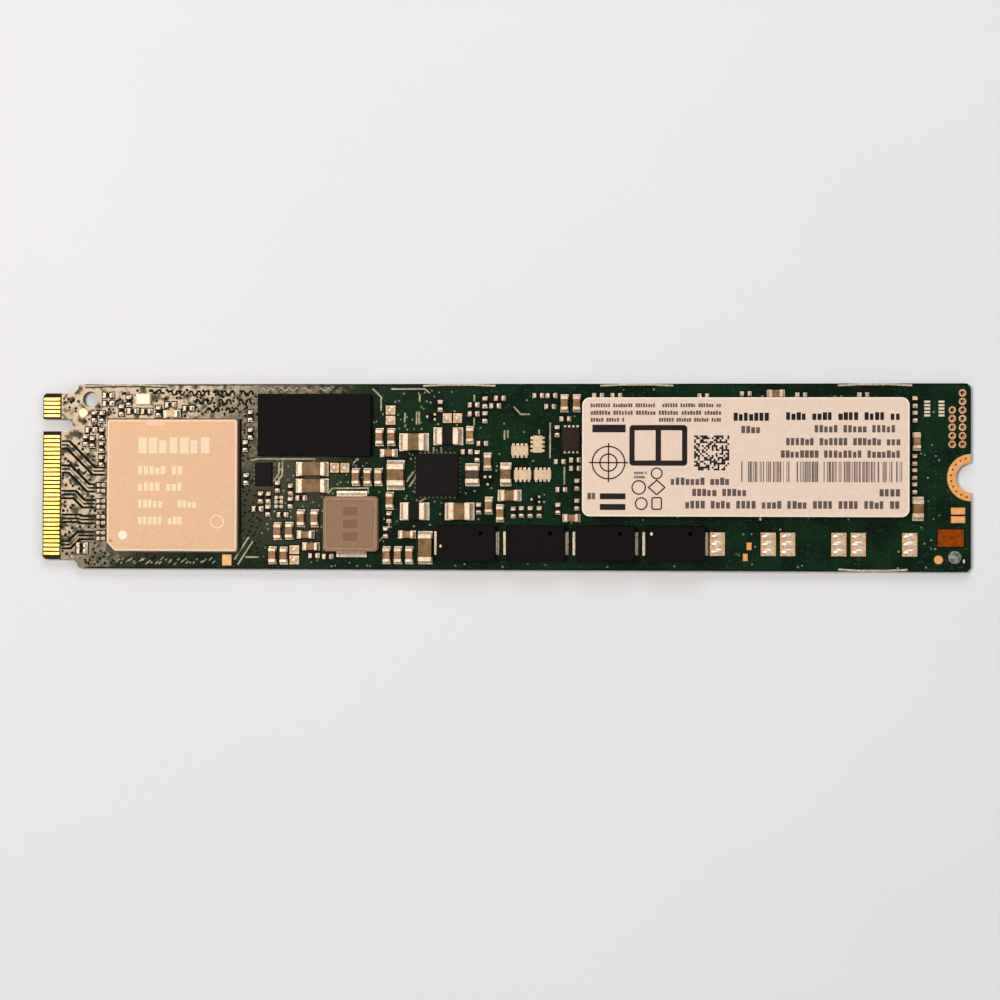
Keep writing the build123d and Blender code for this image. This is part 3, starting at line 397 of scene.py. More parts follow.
def clouded(tree, where, first, second, size, low=0.3, high=0.7):
    """A tone of two colours in clouds: all of the first where their noise is low, all of the second where
    it is high. The noise is given too."""
    share, noise = clouds(tree, where, size, low, high)
    tones = {FACTOR: share, FIRST: first, SECOND: second}
    return add(tree, "Mix", tones, MIXED, data_type="RGBA"), noise


def between_faces(tree, where):
    """One inside the board's thickness, further than the mask's film from both faces, and zero outside."""
    height = add(tree, "SeparateXYZ", {"Vector": where}, "Z")
    middle = BOARD_TOP * MM / 2
    apart = add(tree, "Math", {0: height, 1: middle}, operation="SUBTRACT")
    apart = add(tree, "Math", {0: apart}, operation="ABSOLUTE")
    return add(tree, "Math", {0: apart, 1: middle - MASK_FILM * MM}, operation="LESS_THAN")


def finish(name, **changes):
    """One of the listed finishes, with any of its values changed."""
    look = FINISHES[name]._replace(**changes)
    material, tree, shader, where = surface(name, look.roughness, look.metallic, look.ior, look.shine)
    dark, light = (linear(tone) if isinstance(tone, str) else tone for tone in (look.dark, look.light))
    tone, grain = clouded(tree, where, dark, light, look.grain)
    if look.wall:
        tones = {FACTOR: between_faces(tree, where), FIRST: tone, SECOND: linear(look.wall)}
        tone = add(tree, "Mix", tones, MIXED, data_type="RGBA")
    tree.links.new(tone, shader.inputs["Base Color"])
    if look.bump:
        relief = add(tree, "Bump", {"Height": grain, "Strength": look.bump, "Distance": BUMP_DEPTH * MM})
        tree.links.new(relief, shader.inputs["Normal"])
    return material


def solder_mask_material(mask, name):
    """Screen-printed epoxy mask over copper and glass-epoxy laminate. It gives a glossy dark green in which
    lights mirror with a warm tinge from the copper, dulled in patches by flux that dried in the corner by
    the contacts. The weave shows as short pale dashes, and bare laminate at the cut edges and where the
    mask stops, painted nearly black as the shade in those edges, gaps and hole walls."""
    material, tree, shader, where = surface(name, MASK_ROUGH, ior=1.55, shine=0.44)
    shader.inputs["Specular Tint"].default_value = mask.mirror_tinge
    tone, _ = clouded(tree, where, mask.dark_green, mask.green, size=4.0, low=0.42, high=0.58)

    along = add(tree, "Mapping", {"Vector": where, "Scale": DASH_SCALE})
    cells = add(tree, "TexVoronoi", {"Vector": along, "Scale": 1 / (THREAD * MM), "Randomness": 0.6})
    dashes = add(tree, "MapRange", {"Value": cells, "From Min": 0.4, "From Max": 0.18})
    patches, _ = clouds(tree, where, size=1.6, low=0.3, high=0.65)
    dashes = add(tree, "Math", {0: dashes, 1: patches}, operation="MULTIPLY")
    tones = {FACTOR: dashes, FIRST: tone, SECOND: mask.weave}
    tone = add(tree, "Mix", tones, MIXED, data_type="RGBA")

    # Bare laminate lies between the two mask films, painted nearly black as shade in the cut edges, the gaps
    # between the contacts and the holes' walls
    bare = between_faces(tree, where)
    fibre, _ = clouded(tree, where, linear("#0b0804"), linear("#241c0c"), size=0.15, low=0, high=1)
    tone = add(tree, "Mix", {FACTOR: bare, FIRST: tone, SECOND: fibre}, MIXED, data_type="RGBA")
    tree.links.new(tone, shader.inputs["Base Color"])

    flux, _ = clouds(tree, where, size=0.9, low=0.47, high=0.62, detail=4.0)
    slant = add(tree, "VectorMath", {0: where, 1: FLUX_SLANT}, "Value", operation="DOT_PRODUCT")
    spans = {"Value": slant, "From Min": FLUX_END * MM, "From Max": FLUX_FULL * MM}
    corner = add(tree, "MapRange", spans)
    flux = add(tree, "Math", {0: flux, 1: corner}, operation="MULTIPLY")
    rough = add(tree, "MapRange", {"Value": flux, "To Min": MASK_ROUGH, "To Max": FLUX_ROUGH})
    bare_rough = add(tree, "Math", {0: bare, 1: BARE_ROUGH}, operation="MULTIPLY")
    rough = add(tree, "Math", {0: rough, 1: bare_rough}, operation="MAXIMUM")
    tree.links.new(rough, shader.inputs["Roughness"])
    waves = add(tree, "TexNoise", {"Vector": where, "Scale": 1 / (MASK_WAVES * MM)})
    relief = add(tree, "Bump", {"Height": waves, "Strength": 0.12, "Distance": BUMP_DEPTH * MM})
    tree.links.new(relief, shader.inputs["Normal"])
    return material


def contact_material(node):
    """Hard gold electroplated over nickel. Each contact has a painted highlight, bright yellow, along its
    middle and painted shade, a deep dull yellow, at its sides, where the plating rounds off."""
    low, high = solid_boxes(node)
    middles = np.unique(np.round((low + high)[:, 1] / 2, 3))
    pitch = np.diff(middles).min()
    material, tree, shader, where = surface("hard_gold_with_painted_shading_of_" + node, 0.34, metallic=0.6)
    painted_highlight_tone, _ = clouded(tree, where, linear("#e3c43c"), linear("#fff082"), size=0.6)
    across = add(tree, "SeparateXYZ", {"Vector": where}, "Y")
    across = add(tree, "Math", {0: across, 1: middles[0] * MM}, operation="SUBTRACT")
    away = add(tree, "Math", {0: across, 1: pitch / 2 * MM}, operation="PINGPONG")
    # Painted shade: the tone darkens from the painted highlight along a contact's middle towards its sides
    side = add(tree, "MapRange", {"Value": away, "From Min": PAINTED_HIGHLIGHT_END * MM, "From Max": PAINTED_SHADE_START * MM})
    tones = {FACTOR: side, FIRST: painted_highlight_tone, SECOND: linear("#7d5f12")}
    tone = add(tree, "Mix", tones, MIXED, data_type="RGBA")
    tree.links.new(tone, shader.inputs["Base Color"])
    return material


def pad_material():
    """Immersion gold over copper: a flat pale orange with a thin gloss. The short pads beside the header,
    far along and up the card, are tinned and cream."""
    material, tree, shader, where = surface("immersion_gold", 0.2, metallic=0.05)
    tone, _ = clouded(tree, where, linear("#fda856"), linear("#ffc47e"), size=0.7)
    past = []
    for axis, start in zip("XY", TINNED_FROM):
        place = add(tree, "SeparateXYZ", {"Vector": where}, axis)
        past.append(add(tree, "Math", {0: place, 1: start * MM}, operation="GREATER_THAN"))
    tinned = add(tree, "Math", {0: past[0], 1: past[1]}, operation="MULTIPLY")
    tones = {FACTOR: tinned, FIRST: tone, SECOND: linear("#f3e6cc")}
    tone = add(tree, "Mix", tones, MIXED, data_type="RGBA")
    tree.links.new(tone, shader.inputs["Base Color"])
    return material


def floor_material():
    """Matt backdrop paper: pale, slightly blue to stand against the warm lights, faintly clouded."""
    material, tree, shader, where = surface("backdrop_paper", 0.9)
    tone, _ = clouded(tree, where, linear("#edf3fc"), linear("#f4f9ff"), size=60.0, low=0, high=1)
    tree.links.new(tone, shader.inputs["Base Color"])
    return material


# Settings


def colour_setting(name, description, default):
    """A colour that the panel shows."""
    return bpy.props.FloatVectorProperty(
        name=name, description=description, default=linear(default), size=4, min=0, max=1, subtype="COLOR"
    )


def length_setting(name, description, default):
    """A length given in millimetres and kept in metres, as Blender keeps lengths."""
    return bpy.props.FloatProperty(
        name=name, description=description, default=default * MM, min=0, precision=6, unit="LENGTH"
    )


def power_setting(name, description, default):
    """A light's power in watts."""
    return bpy.props.FloatProperty(name=name, description=description, default=default, unit="POWER")


class MaskSettings(bpy.types.PropertyGroup):
    """Solder mask, the copper lines under it, and the vias."""

    green: colour_setting("Green", "Mask over copper", "#0d2f1d")
    dark_green: colour_setting("Dark green", "Mask over laminate", "#082116")
    weave: colour_setting("Weave", "Dashes of the glass weave", "#24493a")
    mirror_tinge: colour_setting("Mirror tinge", "Tinge of lights mirrored in the mask", "#ffe6cc")
    line_width: length_setting("Line width", "Top of a copper line", 0.2)
    line_foot: length_setting("Line foot", "Foot of a copper line", 0.3)
    line_rise: length_setting("Line rise", "Height of a copper line", 0.035)
    via_radius: length_setting("Via radius", "Outside of a via's rim", 0.19)
    via_pitch: length_setting("Via pitch", "Spacing of the places for vias", 0.62)


class SolderSettings(bpy.types.PropertyGroup):
    """Solder on the lands."""

    fillet_share: bpy.props.FloatProperty(
        name="Fillet height", description="Share of an end that solder climbs", default=0.65, subtype="FACTOR"
    )
    lump_rise: length_setting("Lump rise", "Height of a solder lump", 0.16)
    # The rim is partly painted shade for the dark gaps round the parts
    rim: length_setting("Rim", "Bare laminate round each land", 0.15)


class PrintSettings(bpy.types.PropertyGroup):
    """Marks on the label and the controller's lid."""

    ink: colour_setting("Ink", "Solid shapes on the label", "#151012")
    soft_ink: colour_setting("Soft ink", "Lines of print on the label", "#5a4f4b")
    lid_ink: colour_setting("Lid mark", "Colour of the lid's marks", "#ffeccb")
    ink_rise: length_setting("Ink rise", "Thickness of the print", 0.006)


class StageSettings(bpy.types.PropertyGroup):
    """Camera, floor and lights."""

    lens: bpy.props.FloatProperty(name="Lens", description="Focal length", default=91.46, unit="CAMERA")
    key_power: power_setting("Key power", "Power of the main light", 2.5)
    fill_power: power_setting("Fill power", "Power of a side light of share 1", 1.7)
    glow_power: power_setting("Glow power", "Power of the dim light beside the main one", 0.008)
    sky: bpy.props.FloatProperty(name="Sky", description="Strength of the even light", default=0.1)


# Pieces


class CARD_OT_board(bpy.types.Operator):
    """Mask the board, paint shade along its edges and beside the scars, and leave pale scars where its tabs
    were broken off
    """

    bl_idname = "card.board"
    bl_label = "Board"

    # Distance from the connector's tip to each scar's ends, and which long edge it is on
    SCARS = [(5.1, 15.1, 1), (45.8, 54.4, 1), (66.8, 75.4, 1), (94.6, 103.2, 1), (94.7, 102.7, -1)]
    # A scar's points as shares of its length, how far in each of them lies, and the flat share of its width
    SCAR_POINTS = np.array([0, 0.3, 0.7, 1])
    SCAR_INSETS = np.array([0.12, 0, 0, 0.12])
    SCAR_FLAT = 0.8
    SCAR_WIDTH = 0.22
    SCAR_RISE = 0.015
    # Width of the strip of painted shadow along the inner side of each scar
    SCAR_SHADOW_WIDTH = 0.14
    # Painted shade along the edges, drawn as a bare margin: its width, where it starts, and how it passes the
    # corners and the notch
    MARGIN = 0.16
    MARGIN_RISE = 0.004
    MARGIN_START = 5.2
    CORNER = 0.75
    NOTCH_CLEAR = 2.9

    def execute(self, context):
        dress(["circuit_board"], solder_mask_material(context.scene.card_mask, "solder_mask"))
        edge = BOARD_HIGH[1] - self.SCAR_WIDTH / 2
        scars, scar_shadow_paths = [], []
        for start, end, side in self.SCARS:
            along = self.SCAR_POINTS * (end - start) + TIP + start
            scars.append(np.stack([along, side * (edge - self.SCAR_INSETS)], axis=1))
            # Painted shadow: a dark strip along each scar's inner side
            scar_shadow_paths.append(scars[-1] - (0, side * (self.SCAR_WIDTH + self.SCAR_SHADOW_WIDTH) / 2))
        widths = self.SCAR_WIDTH, self.SCAR_WIDTH * self.SCAR_FLAT
        shape = ribbons(scars, widths, BOARD_TOP, self.SCAR_RISE)
        piece("tab_scars", shape, finish("broken_laminate"))
        bare = finish("painted_edge_shade")
        piece("scar_shadows", ribbons(scar_shadow_paths, self.SCAR_SHADOW_WIDTH, BOARD_TOP, self.MARGIN_RISE), bare)

        # Painted shade along the long edges and round the far end, where the board's side is dark
        side, end = BOARD_HIGH[1] - self.MARGIN / 2, CARD_END - self.MARGIN / 2
        start, corner = TIP + self.MARGIN_START, self.CORNER
        edge = np.array([(start, side), (end - corner, side), (end, side - corner), (end, self.NOTCH_CLEAR)])
        edges = [edge, edge[::-1] * (1, -1)]
        piece("edge_shade_margins", ribbons(edges, self.MARGIN, BOARD_TOP, self.MARGIN_RISE), bare)
        return {"FINISHED"}


class CARD_OT_traces(bpy.types.Operator):
    """Raise the copper lines that show under the mask"""

    bl_idname = "card.traces"
    bl_label = "Traces"

    # Meanders: start and end along the card from the tip, place across it, and half height
    MEANDERS = [
        (12.9, 14.6, 10.1, 0.2),
        (15.2, 17.2, 9.95, 0.22),
        (17.7, 20.2, 9.9, 0.25),
        (20.8, 23.3, 9.9, 0.26),
        (24.0, 25.6, 9.9, 0.25),
        (18.5, 20.6, 8.9, 0.24),
        (21.3, 23.0, 8.9, 0.25),
        (23.7, 25.4, 8.9, 0.24),
        (19.9, 21.5, 7.9, 0.24),
        (22.2, 23.7, 7.9, 0.24),
    ]
    PALE_MEANDERS = [
        (26.4, 28.1, 10.35, 0.13),
        (28.6, 30.9, 10.38, 0.15),
        (31.5, 32.6, 10.36, 0.12),
        (33.3, 34.7, 10.36, 0.14),
    ]
    MEANDER_PITCH = 0.95
    MEANDER_STEPS = 10
    # How much a sine is stretched before its crests are cut
    MEANDER_STRETCH = 1.5
    # Widths at the base and at the top, here and below
    MEANDER_WIDTHS = (0.24, 0.2)
    MEANDER_RISE = 0.01
    CHANNEL_RISE = 0.004
    # Short lines: points along the card from the tip and across it
    LINES = [
        [(60.9, 6.4), (60.9, 2.2)],
        [(59.6, 5.6), (59.6, 5.05)],
        [(39.8, 10.45), (40.8, 9.45), (40.8, 7.8)],
        [(45.4, 9.8), (45.4, 8.9)],
        [(51.9, 9.7), (51.9, 8.9)],
        [(51.9, 7.0), (51.9, 6.1)],
        [(43.7, 7.5), (43.6, 6.4)],
        [(45.05, 7.7), (45.05, 6.2)],
        [(45.35, 7.7), (45.35, 6.2)],
        [(47.1, 3.5), (47.1, 2.8)],
        [(48.0, 3.5), (48.0, 2.8)],
        [(34.5, -2.0), (35.05, -1.4), (39.3, -1.35), (39.3, -2.0)],
        [(41.8, -5.3), (41.8, -6.1)],
        [(40.6, -7.7), (41.1, -7.1)],
        [(55.5, 5.5), (55.5, 4.4)],
        [(55.9, 5.5), (55.9, 4.6)],
        [(25.2, 1.9), (26.0, 2.1), (33.0, 2.1)],
        [(28.6, 1.7), (28.6, 0.4), (27.9, -0.6)],
        [(29.0, 1.7), (29.0, 0.2), (28.3, -0.8)],
        [(62.6, 1.2), (62.6, -0.9)],
        [(46.2, -2.5), (45.4, -3.0)],
        [(44.7, 0.6), (43.9, -0.6)],
        [(45.0, 0.0), (44.2, -1.2)],
        [(37.5, 1.6), (38.1, 2.2)],
        [(56.6, 8.3), (57.4, 7.4), (58.5, 7.4)],
        [(25.0, -7.2), (23.3, -9.9)],
        [(25.5, -7.7), (23.7, -10.5)],
        [(24.6, -9.6), (26.2, -9.6)],
        [(42.0, 10.4), (46.0, 10.4), (46.6, 9.9)],
    ]
    LINE_WIDTHS = (0.2, 0.13)
    # Scattered short strokes below the controller: span along the card, span across it, how unevenly they
    # are spaced, their reach, and how they lean
    STROKES_ALONG = (8.6, 20.6)
    STROKES_ACROSS = (-10.6, -9.95)
    STROKE_JITTER = 0.16
    STROKE_REACH = (0.15, 0.5)
    STROKE_LEAN = (1, 0.9)
    STROKE_COUNT = 32
    STROKE_WIDTHS = (0.15, 0.1)

    def waves(self, meanders):
        """Sines across the card, stretched and cut flat at their crests, as tuned lines are."""
        paths = []
        for start, end, across, half in meanders:
            along = np.arange(start, end, self.MEANDER_PITCH / self.MEANDER_STEPS)
            sweep = self.MEANDER_STRETCH * np.sin((along - start) * 2 * math.pi / self.MEANDER_PITCH)
            paths.append(np.stack([TIP + along, across + half * np.clip(sweep, -1, 1)], axis=1))
        return paths

    def strokes(self):
        """Short strokes at uneven spacing that all lean the same way."""
        draw = np.random.default_rng(4)
        count = self.STROKE_COUNT
        uneven = draw.uniform(-self.STROKE_JITTER, self.STROKE_JITTER, count)
        along = np.linspace(*self.STROKES_ALONG, count) + uneven
        foot = np.stack([TIP + along, draw.uniform(*self.STROKES_ACROSS, count)], axis=1)
        reach = draw.uniform(*self.STROKE_REACH, (count, 1)) * self.STROKE_LEAN
        return list(np.stack([foot, foot + reach], axis=1))

    def execute(self, context):
        mask = context.scene.card_mask
        rise = mask.line_rise / MM
        middles = pair_paths()
        lines = [middle + (0, side * PAIR_GAP / 2) for middle in middles for side in (-1, 1)]
        widths = mask.line_foot / MM, mask.line_width / MM
        short = [np.array(path) + (TIP, 0) for path in self.LINES]
        strokes = self.strokes() + self.waves(self.PALE_MEANDERS)
        waves = self.waves(self.MEANDERS)
        covered = solder_mask_material(mask, "mask_over_lines")
        pale, gap = finish("thin_mask_over_copper"), finish("mask_over_laminate")
        for name, paths, wide, high, look in (
            ("copper_lines", lines, widths, rise, covered),
            ("pale_lines", short, self.LINE_WIDTHS, rise, pale),
            ("pale_strokes", strokes, self.STROKE_WIDTHS, rise, pale),
            ("pair_channels", middles, PAIR_CHANNEL, self.CHANNEL_RISE, gap),
            ("tuning_meanders", waves, self.MEANDER_WIDTHS, self.MEANDER_RISE, gap),
        ):
            piece(name, ribbons(paths, wide, BOARD_TOP, high), look)
        return {"FINISHED"}


class CARD_OT_vias(bpy.types.Operator):
    """Stipple the free board with vias, kept clear of every part, hole, line pair and edge"""

    bl_idname = "card.vias"
    bl_label = "Vias"

    CLEAR = 0.26
    CONNECTOR_CLEAR = 2.6
    EDGE_CLEAR = 0.6
    JITTER = 0.42
    # Beside the tongue the board is narrower: how far along, and half its width
    NECK_END, NECK_HALF = 5, 9.3
    # Vias are open up to this distance from the tip, and plugged beyond it. The open ones are painted dark as
    # shade in their pits, the plugged ones pale as a painted reflection of the side lights
    OPEN_REACH = 26.5
    # Rings of an open via's rim and of a plug: shares of its radius, and heights
    RIM_RINGS = [1, 0.65, 0.3], [0, 0.03, 0.006]
    PLUG_RINGS = [1, 0.6], [0, 0.02]
    # A plug's share of a via's radius, and the least and greatest share of the set radius that a via has
    PLUG_SHARE = 0.7
    RADIUS_SPREAD = (0.75, 1.1)
    SIDES = 8
    # Share of places that have a via, at distances from the tip
    SHARE_AT, SHARE = (0, 24, 27, 36, 60), (0.9, 0.9, 0.5, 0.45, 0.06)
    # Holes and notches: distance from the tip, place across, and clear radius
    HOLES = [(5.8, 9.2, 1.3), (2.9, 6.1, 1.9), (0.8, 6.1, 1.9), (110.0, 0.0, 3.1)]
    ON_BOARD = ["component_lands", "reserve_lands", "test_pads", "copper_patch", "header_barrels"]
    ON_BOARD += ["controller_substrate", "inductor_core", "crystal_base"]

    def free(self, spots):
        """Which places lie outside every box, hole and line pair by its clearance."""
        packages = [name for name in NODES if name.endswith("_package")]
        packages += [name for name in NODES if name.startswith("polymer_capacitor_")]
        low, high = all_boxes(self.ON_BOARD + packages)
        above, below = spots[:, None] > low[:, :2] - self.CLEAR, spots[:, None] < high[:, :2] + self.CLEAR
        covered = (above & below).all(axis=2).any(axis=1)
        holes = np.array(self.HOLES) + (TIP, 0, 0)
        covered |= (np.linalg.norm(spots[:, None] - holes[:, :2], axis=2) < holes[:, 2]).any(axis=1)
        covered |= (spots[:, 0] < TIP + self.NECK_END) & (np.abs(spots[:, 1]) > self.NECK_HALF)
        starts = np.concatenate([path[:-1] for path in pair_paths()])
        runs = np.concatenate([np.diff(path, axis=0) for path in pair_paths()])
        share = ((spots[:, None] - starts) * runs).sum(axis=2) / (runs**2).sum(axis=1)
        nearest = starts + np.clip(share, 0, 1)[:, :, None] * runs
        away = np.linalg.norm(spots[:, None] - nearest, axis=2).min(axis=1)
        return ~covered & (away > PAIR_CHANNEL / 2 + self.CLEAR / 2)

    def execute(self, context):
        mask = context.scene.card_mask
        pitch = mask.via_pitch / MM
        x = np.arange(TIP + self.CONNECTOR_CLEAR, CARD_END - self.EDGE_CLEAR, pitch)
        y = np.arange(BOARD_LOW[1] + self.EDGE_CLEAR, BOARD_HIGH[1] - self.EDGE_CLEAR, pitch)
        spots = np.stack(np.meshgrid(x, y), axis=-1).reshape(-1, 2)
        draw = np.random.default_rng(11)
        spots = spots + draw.uniform(-self.JITTER, self.JITTER, spots.shape) * pitch
        spots = spots[self.free(spots)]
        spots = spots[draw.random(len(spots)) < np.interp(spots[:, 0] - TIP, self.SHARE_AT, self.SHARE)]
        radius = mask.via_radius / MM * draw.uniform(*self.RADIUS_SPREAD, (len(spots), 1))
        # Painted shade on the open vias and a painted reflection on the plugged ones
        near = spots[:, 0] < TIP + self.OPEN_REACH
        shape = mounds(spots[near], radius[near], *self.RIM_RINGS, BOARD_TOP, self.SIDES)
        piece("via_pits_painted_shade", shape, finish("via_pits_painted_shade"))
        plug = radius[~near] * self.PLUG_SHARE
        shape = mounds(spots[~near], plug, *self.PLUG_RINGS, BOARD_TOP, self.SIDES)
        piece("via_plugs_painted_reflection", shape, finish("via_plugs_painted_reflection"))
        return {"FINISHED"}


class CARD_OT_contacts(bpy.types.Operator):
    """Gold for the edge contacts, orange gold for the bare pads, and brown for the covered copper"""

    bl_idname = "card.contacts"
    bl_label = "Contacts and pads"

    # Pits along the screw pad: angles in degrees, their distance from its centre, and their size
    PIT_ANGLES = np.arange(105, 260, 17)
    PIT_REACH = 2.3
    PIT_RADIUS = 0.13
    PIT_RINGS = [1, 0.6], [0, 0.006]

    def execute(self, context):
        for node in ("edge_contacts_top", "edge_contacts_bottom"):
            dress([node], contact_material(node))
        dress(["screw_pad_top", "screw_pad_bottom", "test_pads"], pad_material())
        # The header holes' walls carry painted shade
        dress(["header_barrels"], finish("thin_gold_with_painted_wall_shade"))
        dress(["copper_patch"], finish("resin_over_copper"))
        turn = np.radians(self.PIT_ANGLES)
        centres = self.PIT_REACH * np.stack([np.cos(turn), np.sin(turn)], axis=1) + (CARD_END, 0)
        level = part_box("screw_pad_top")[1][2] / MM
        shape = mounds(centres, self.PIT_RADIUS, *self.PIT_RINGS, level, sides=10)
        piece("screw_pad_pits", shape, finish("filled_via"))
        return {"FINISHED"}


class CARD_OT_packages(bpy.types.Operator):
    """Moulded packages, transistors and polymer capacitors, with the ejector marks on the capacitors"""

    bl_idname = "card.packages"
    bl_label = "Packages"

    EDGE = 0.05
    # A mark's place as shares of a capacitor's length and width, and its size
    MARK_AT = (0.75, 0.77)
    MARK_RADIUS = 0.24
    MARK_RINGS = [1, 0.85], [0, 0.004]

    def execute(self, context):
        polymer = [name for name in NODES if name.startswith("polymer_capacitor_") and name[-1].isdigit()]
        moulded = [name for name in NODES if name.endswith("_package") or name == "transistor_bodies"]
        dress(moulded + polymer, finish("black_mould_compound"))
        dress(["power_manager_package", "boot_memory_package"], finish("coarse_mould_compound"))
        dress(["load_switch_package"], finish("grey_mould_compound"))
        ease(["transistor_bodies"], self.EDGE)
        low, high = all_boxes(polymer)
        centres = low[:, :2] + (high - low)[:, :2] * self.MARK_AT
        shape = mounds(centres, self.MARK_RADIUS, *self.MARK_RINGS, high[:, 2], sides=16)
        piece("ejector_marks", shape, finish("ejector_mark"))
        return {"FINISHED"}


class CARD_OT_lid(bpy.types.Operator):
    """The controller's base, and its plated lid with a rim of painted highlight that follows the cut corner
    """

    bl_idname = "card.lid"
    bl_label = "Controller"

    EDGE = 0.07
    RIM_INSET = 0.16
    RIM_RADIUS = 0.3
    RIM_WIDTHS = (0.16, 0.1)
    RIM_RISE = 0.004
    CUT = 0.88
    # Points at the end of the frame's path that the cut corner takes the place of
    CORNER_POINTS = ARC_POINTS + 1

    def execute(self, context):
        dress(["controller_lid"], finish("nickel_plated_lid"))
        dress(["controller_substrate"], finish("package_laminate"))
        ease(["controller_lid"], self.EDGE)
        # A rim of painted highlight just inside the lid's edge
        left, lower = LID_LOW[:2] + self.RIM_INSET
        right, upper = LID_HIGH[:2] - self.RIM_INSET
        path = frame_path(left, lower, right, upper, self.RIM_RADIUS)[: -self.CORNER_POINTS]
        cut = [(left, lower + self.CUT), (left + self.CUT, lower), ((left + right) / 2, lower)]
        path = np.concatenate([path, cut])
        shape = ribbons([path], self.RIM_WIDTHS, LID_HIGH[2], self.RIM_RISE)
        piece("lid_highlight_rim", shape, finish("painted_lid_highlight"))
        return {"FINISHED"}


class CARD_OT_inductor(bpy.types.Operator):
    """The power inductor's pressed core, with a raised frame and three plain pressed marks"""

    bl_idname = "card.inductor"
    bl_label = "Inductor"

    EDGE = 0.06
    FRAME_INSET = 0.34
    FRAME_RADIUS = 0.4
    FRAME_WIDTHS = (0.16, 0.08)
    FRAME_RISE = 0.02
    MARK_HALF = (0.85, 0.5)
    MARK_PLACES = (-1.5, 0, 1.5)
    MARK_RISE = 0.008

    def execute(self, context):
        dress(["inductor_core"], finish("pressed_powder"))
        ease(["inductor_core"], self.EDGE)
        low, high = np.array(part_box("inductor_core")) / MM
        path = frame_path(*low[:2] + self.FRAME_INSET, *high[:2] - self.FRAME_INSET, self.FRAME_RADIUS)
        shape = ribbons([path], self.FRAME_WIDTHS, high[2], self.FRAME_RISE)
        piece("inductor_frame", shape, finish("pressed_powder_edge"))
        places = (low + high)[:2] / 2 + np.array([(0, place) for place in self.MARK_PLACES])
        marks = np.concatenate([places - self.MARK_HALF, places + self.MARK_HALF], axis=1)
        shape = bars(marks, high[2], self.MARK_RISE)
        piece("inductor_marks", shape, finish("pressed_powder_marks"))
        return {"FINISHED"}


class CARD_OT_label(bpy.types.Operator):
    """The label's paper and a painted highlight along its cut edge"""

    bl_idname = "card.label"
    bl_label = "Label"

    RIM_INSET = 0.08
    RIM_RADIUS = 0.85
    RIM_WIDTHS = (0.14, 0.1)
    RIM_RISE = 0.004

    def execute(self, context):
        dress(["label"], finish("label_paper"))
        # A thin line of painted highlight round the label
        corners = (*LABEL_LOW[:2] + self.RIM_INSET, *LABEL_HIGH[:2] - self.RIM_INSET)
        path = frame_path(*corners, self.RIM_RADIUS)
        shape = ribbons([path], self.RIM_WIDTHS, LABEL_HIGH[2], self.RIM_RISE)
        piece("label_highlight_rim", shape, finish("painted_paper_highlight"))
        return {"FINISHED"}


class CARD_OT_chips(bpy.types.Operator):
    """Ceramic bodies and plated ends of the chip parts"""

    bl_idname = "card.chips"
    bl_label = "Chip parts"

    LOOKS = {
        "fired_ceramic": ["chip_inductor_brown_bodies", "capacitor_1206_bodies", "capacitor_0805_bodies"],
        "tan_fired_ceramic": ["capacitor_0603_bodies", "capacitor_0201_bodies"],
        "dark_glaze": ["chip_inductor_dark_bodies", "resistor_0402_bodies"],
        "pale_ceramic": ["filter_chip_bodies", "resistor_array_bodies", "crystal_base"],
        "grey_ferrite": ["chip_inductor_small_bodies"],
        "bright_steel_lid": ["crystal_lid"],
    }
    LEADS = ["inductor_terminals", "polymer_capacitor_leads"]
    END_EDGE = 0.05
    BODY_EDGE = 0.03

    def execute(self, context):
        for look, names in self.LOOKS.items():
            dress(names, finish(look))
        ends = [name for name in NODES if name.endswith("_ends")]
        dress(ends + self.LEADS + ["transistor_leads"], finish("matte_tin"))
        bodies = [name for name in NODES if name.endswith("_bodies") and name != "transistor_bodies"]
        ease(ends, self.END_EDGE)
        ease(bodies + self.LEADS + ["crystal_lid"], self.BODY_EDGE, 1)
        return {"FINISHED"}


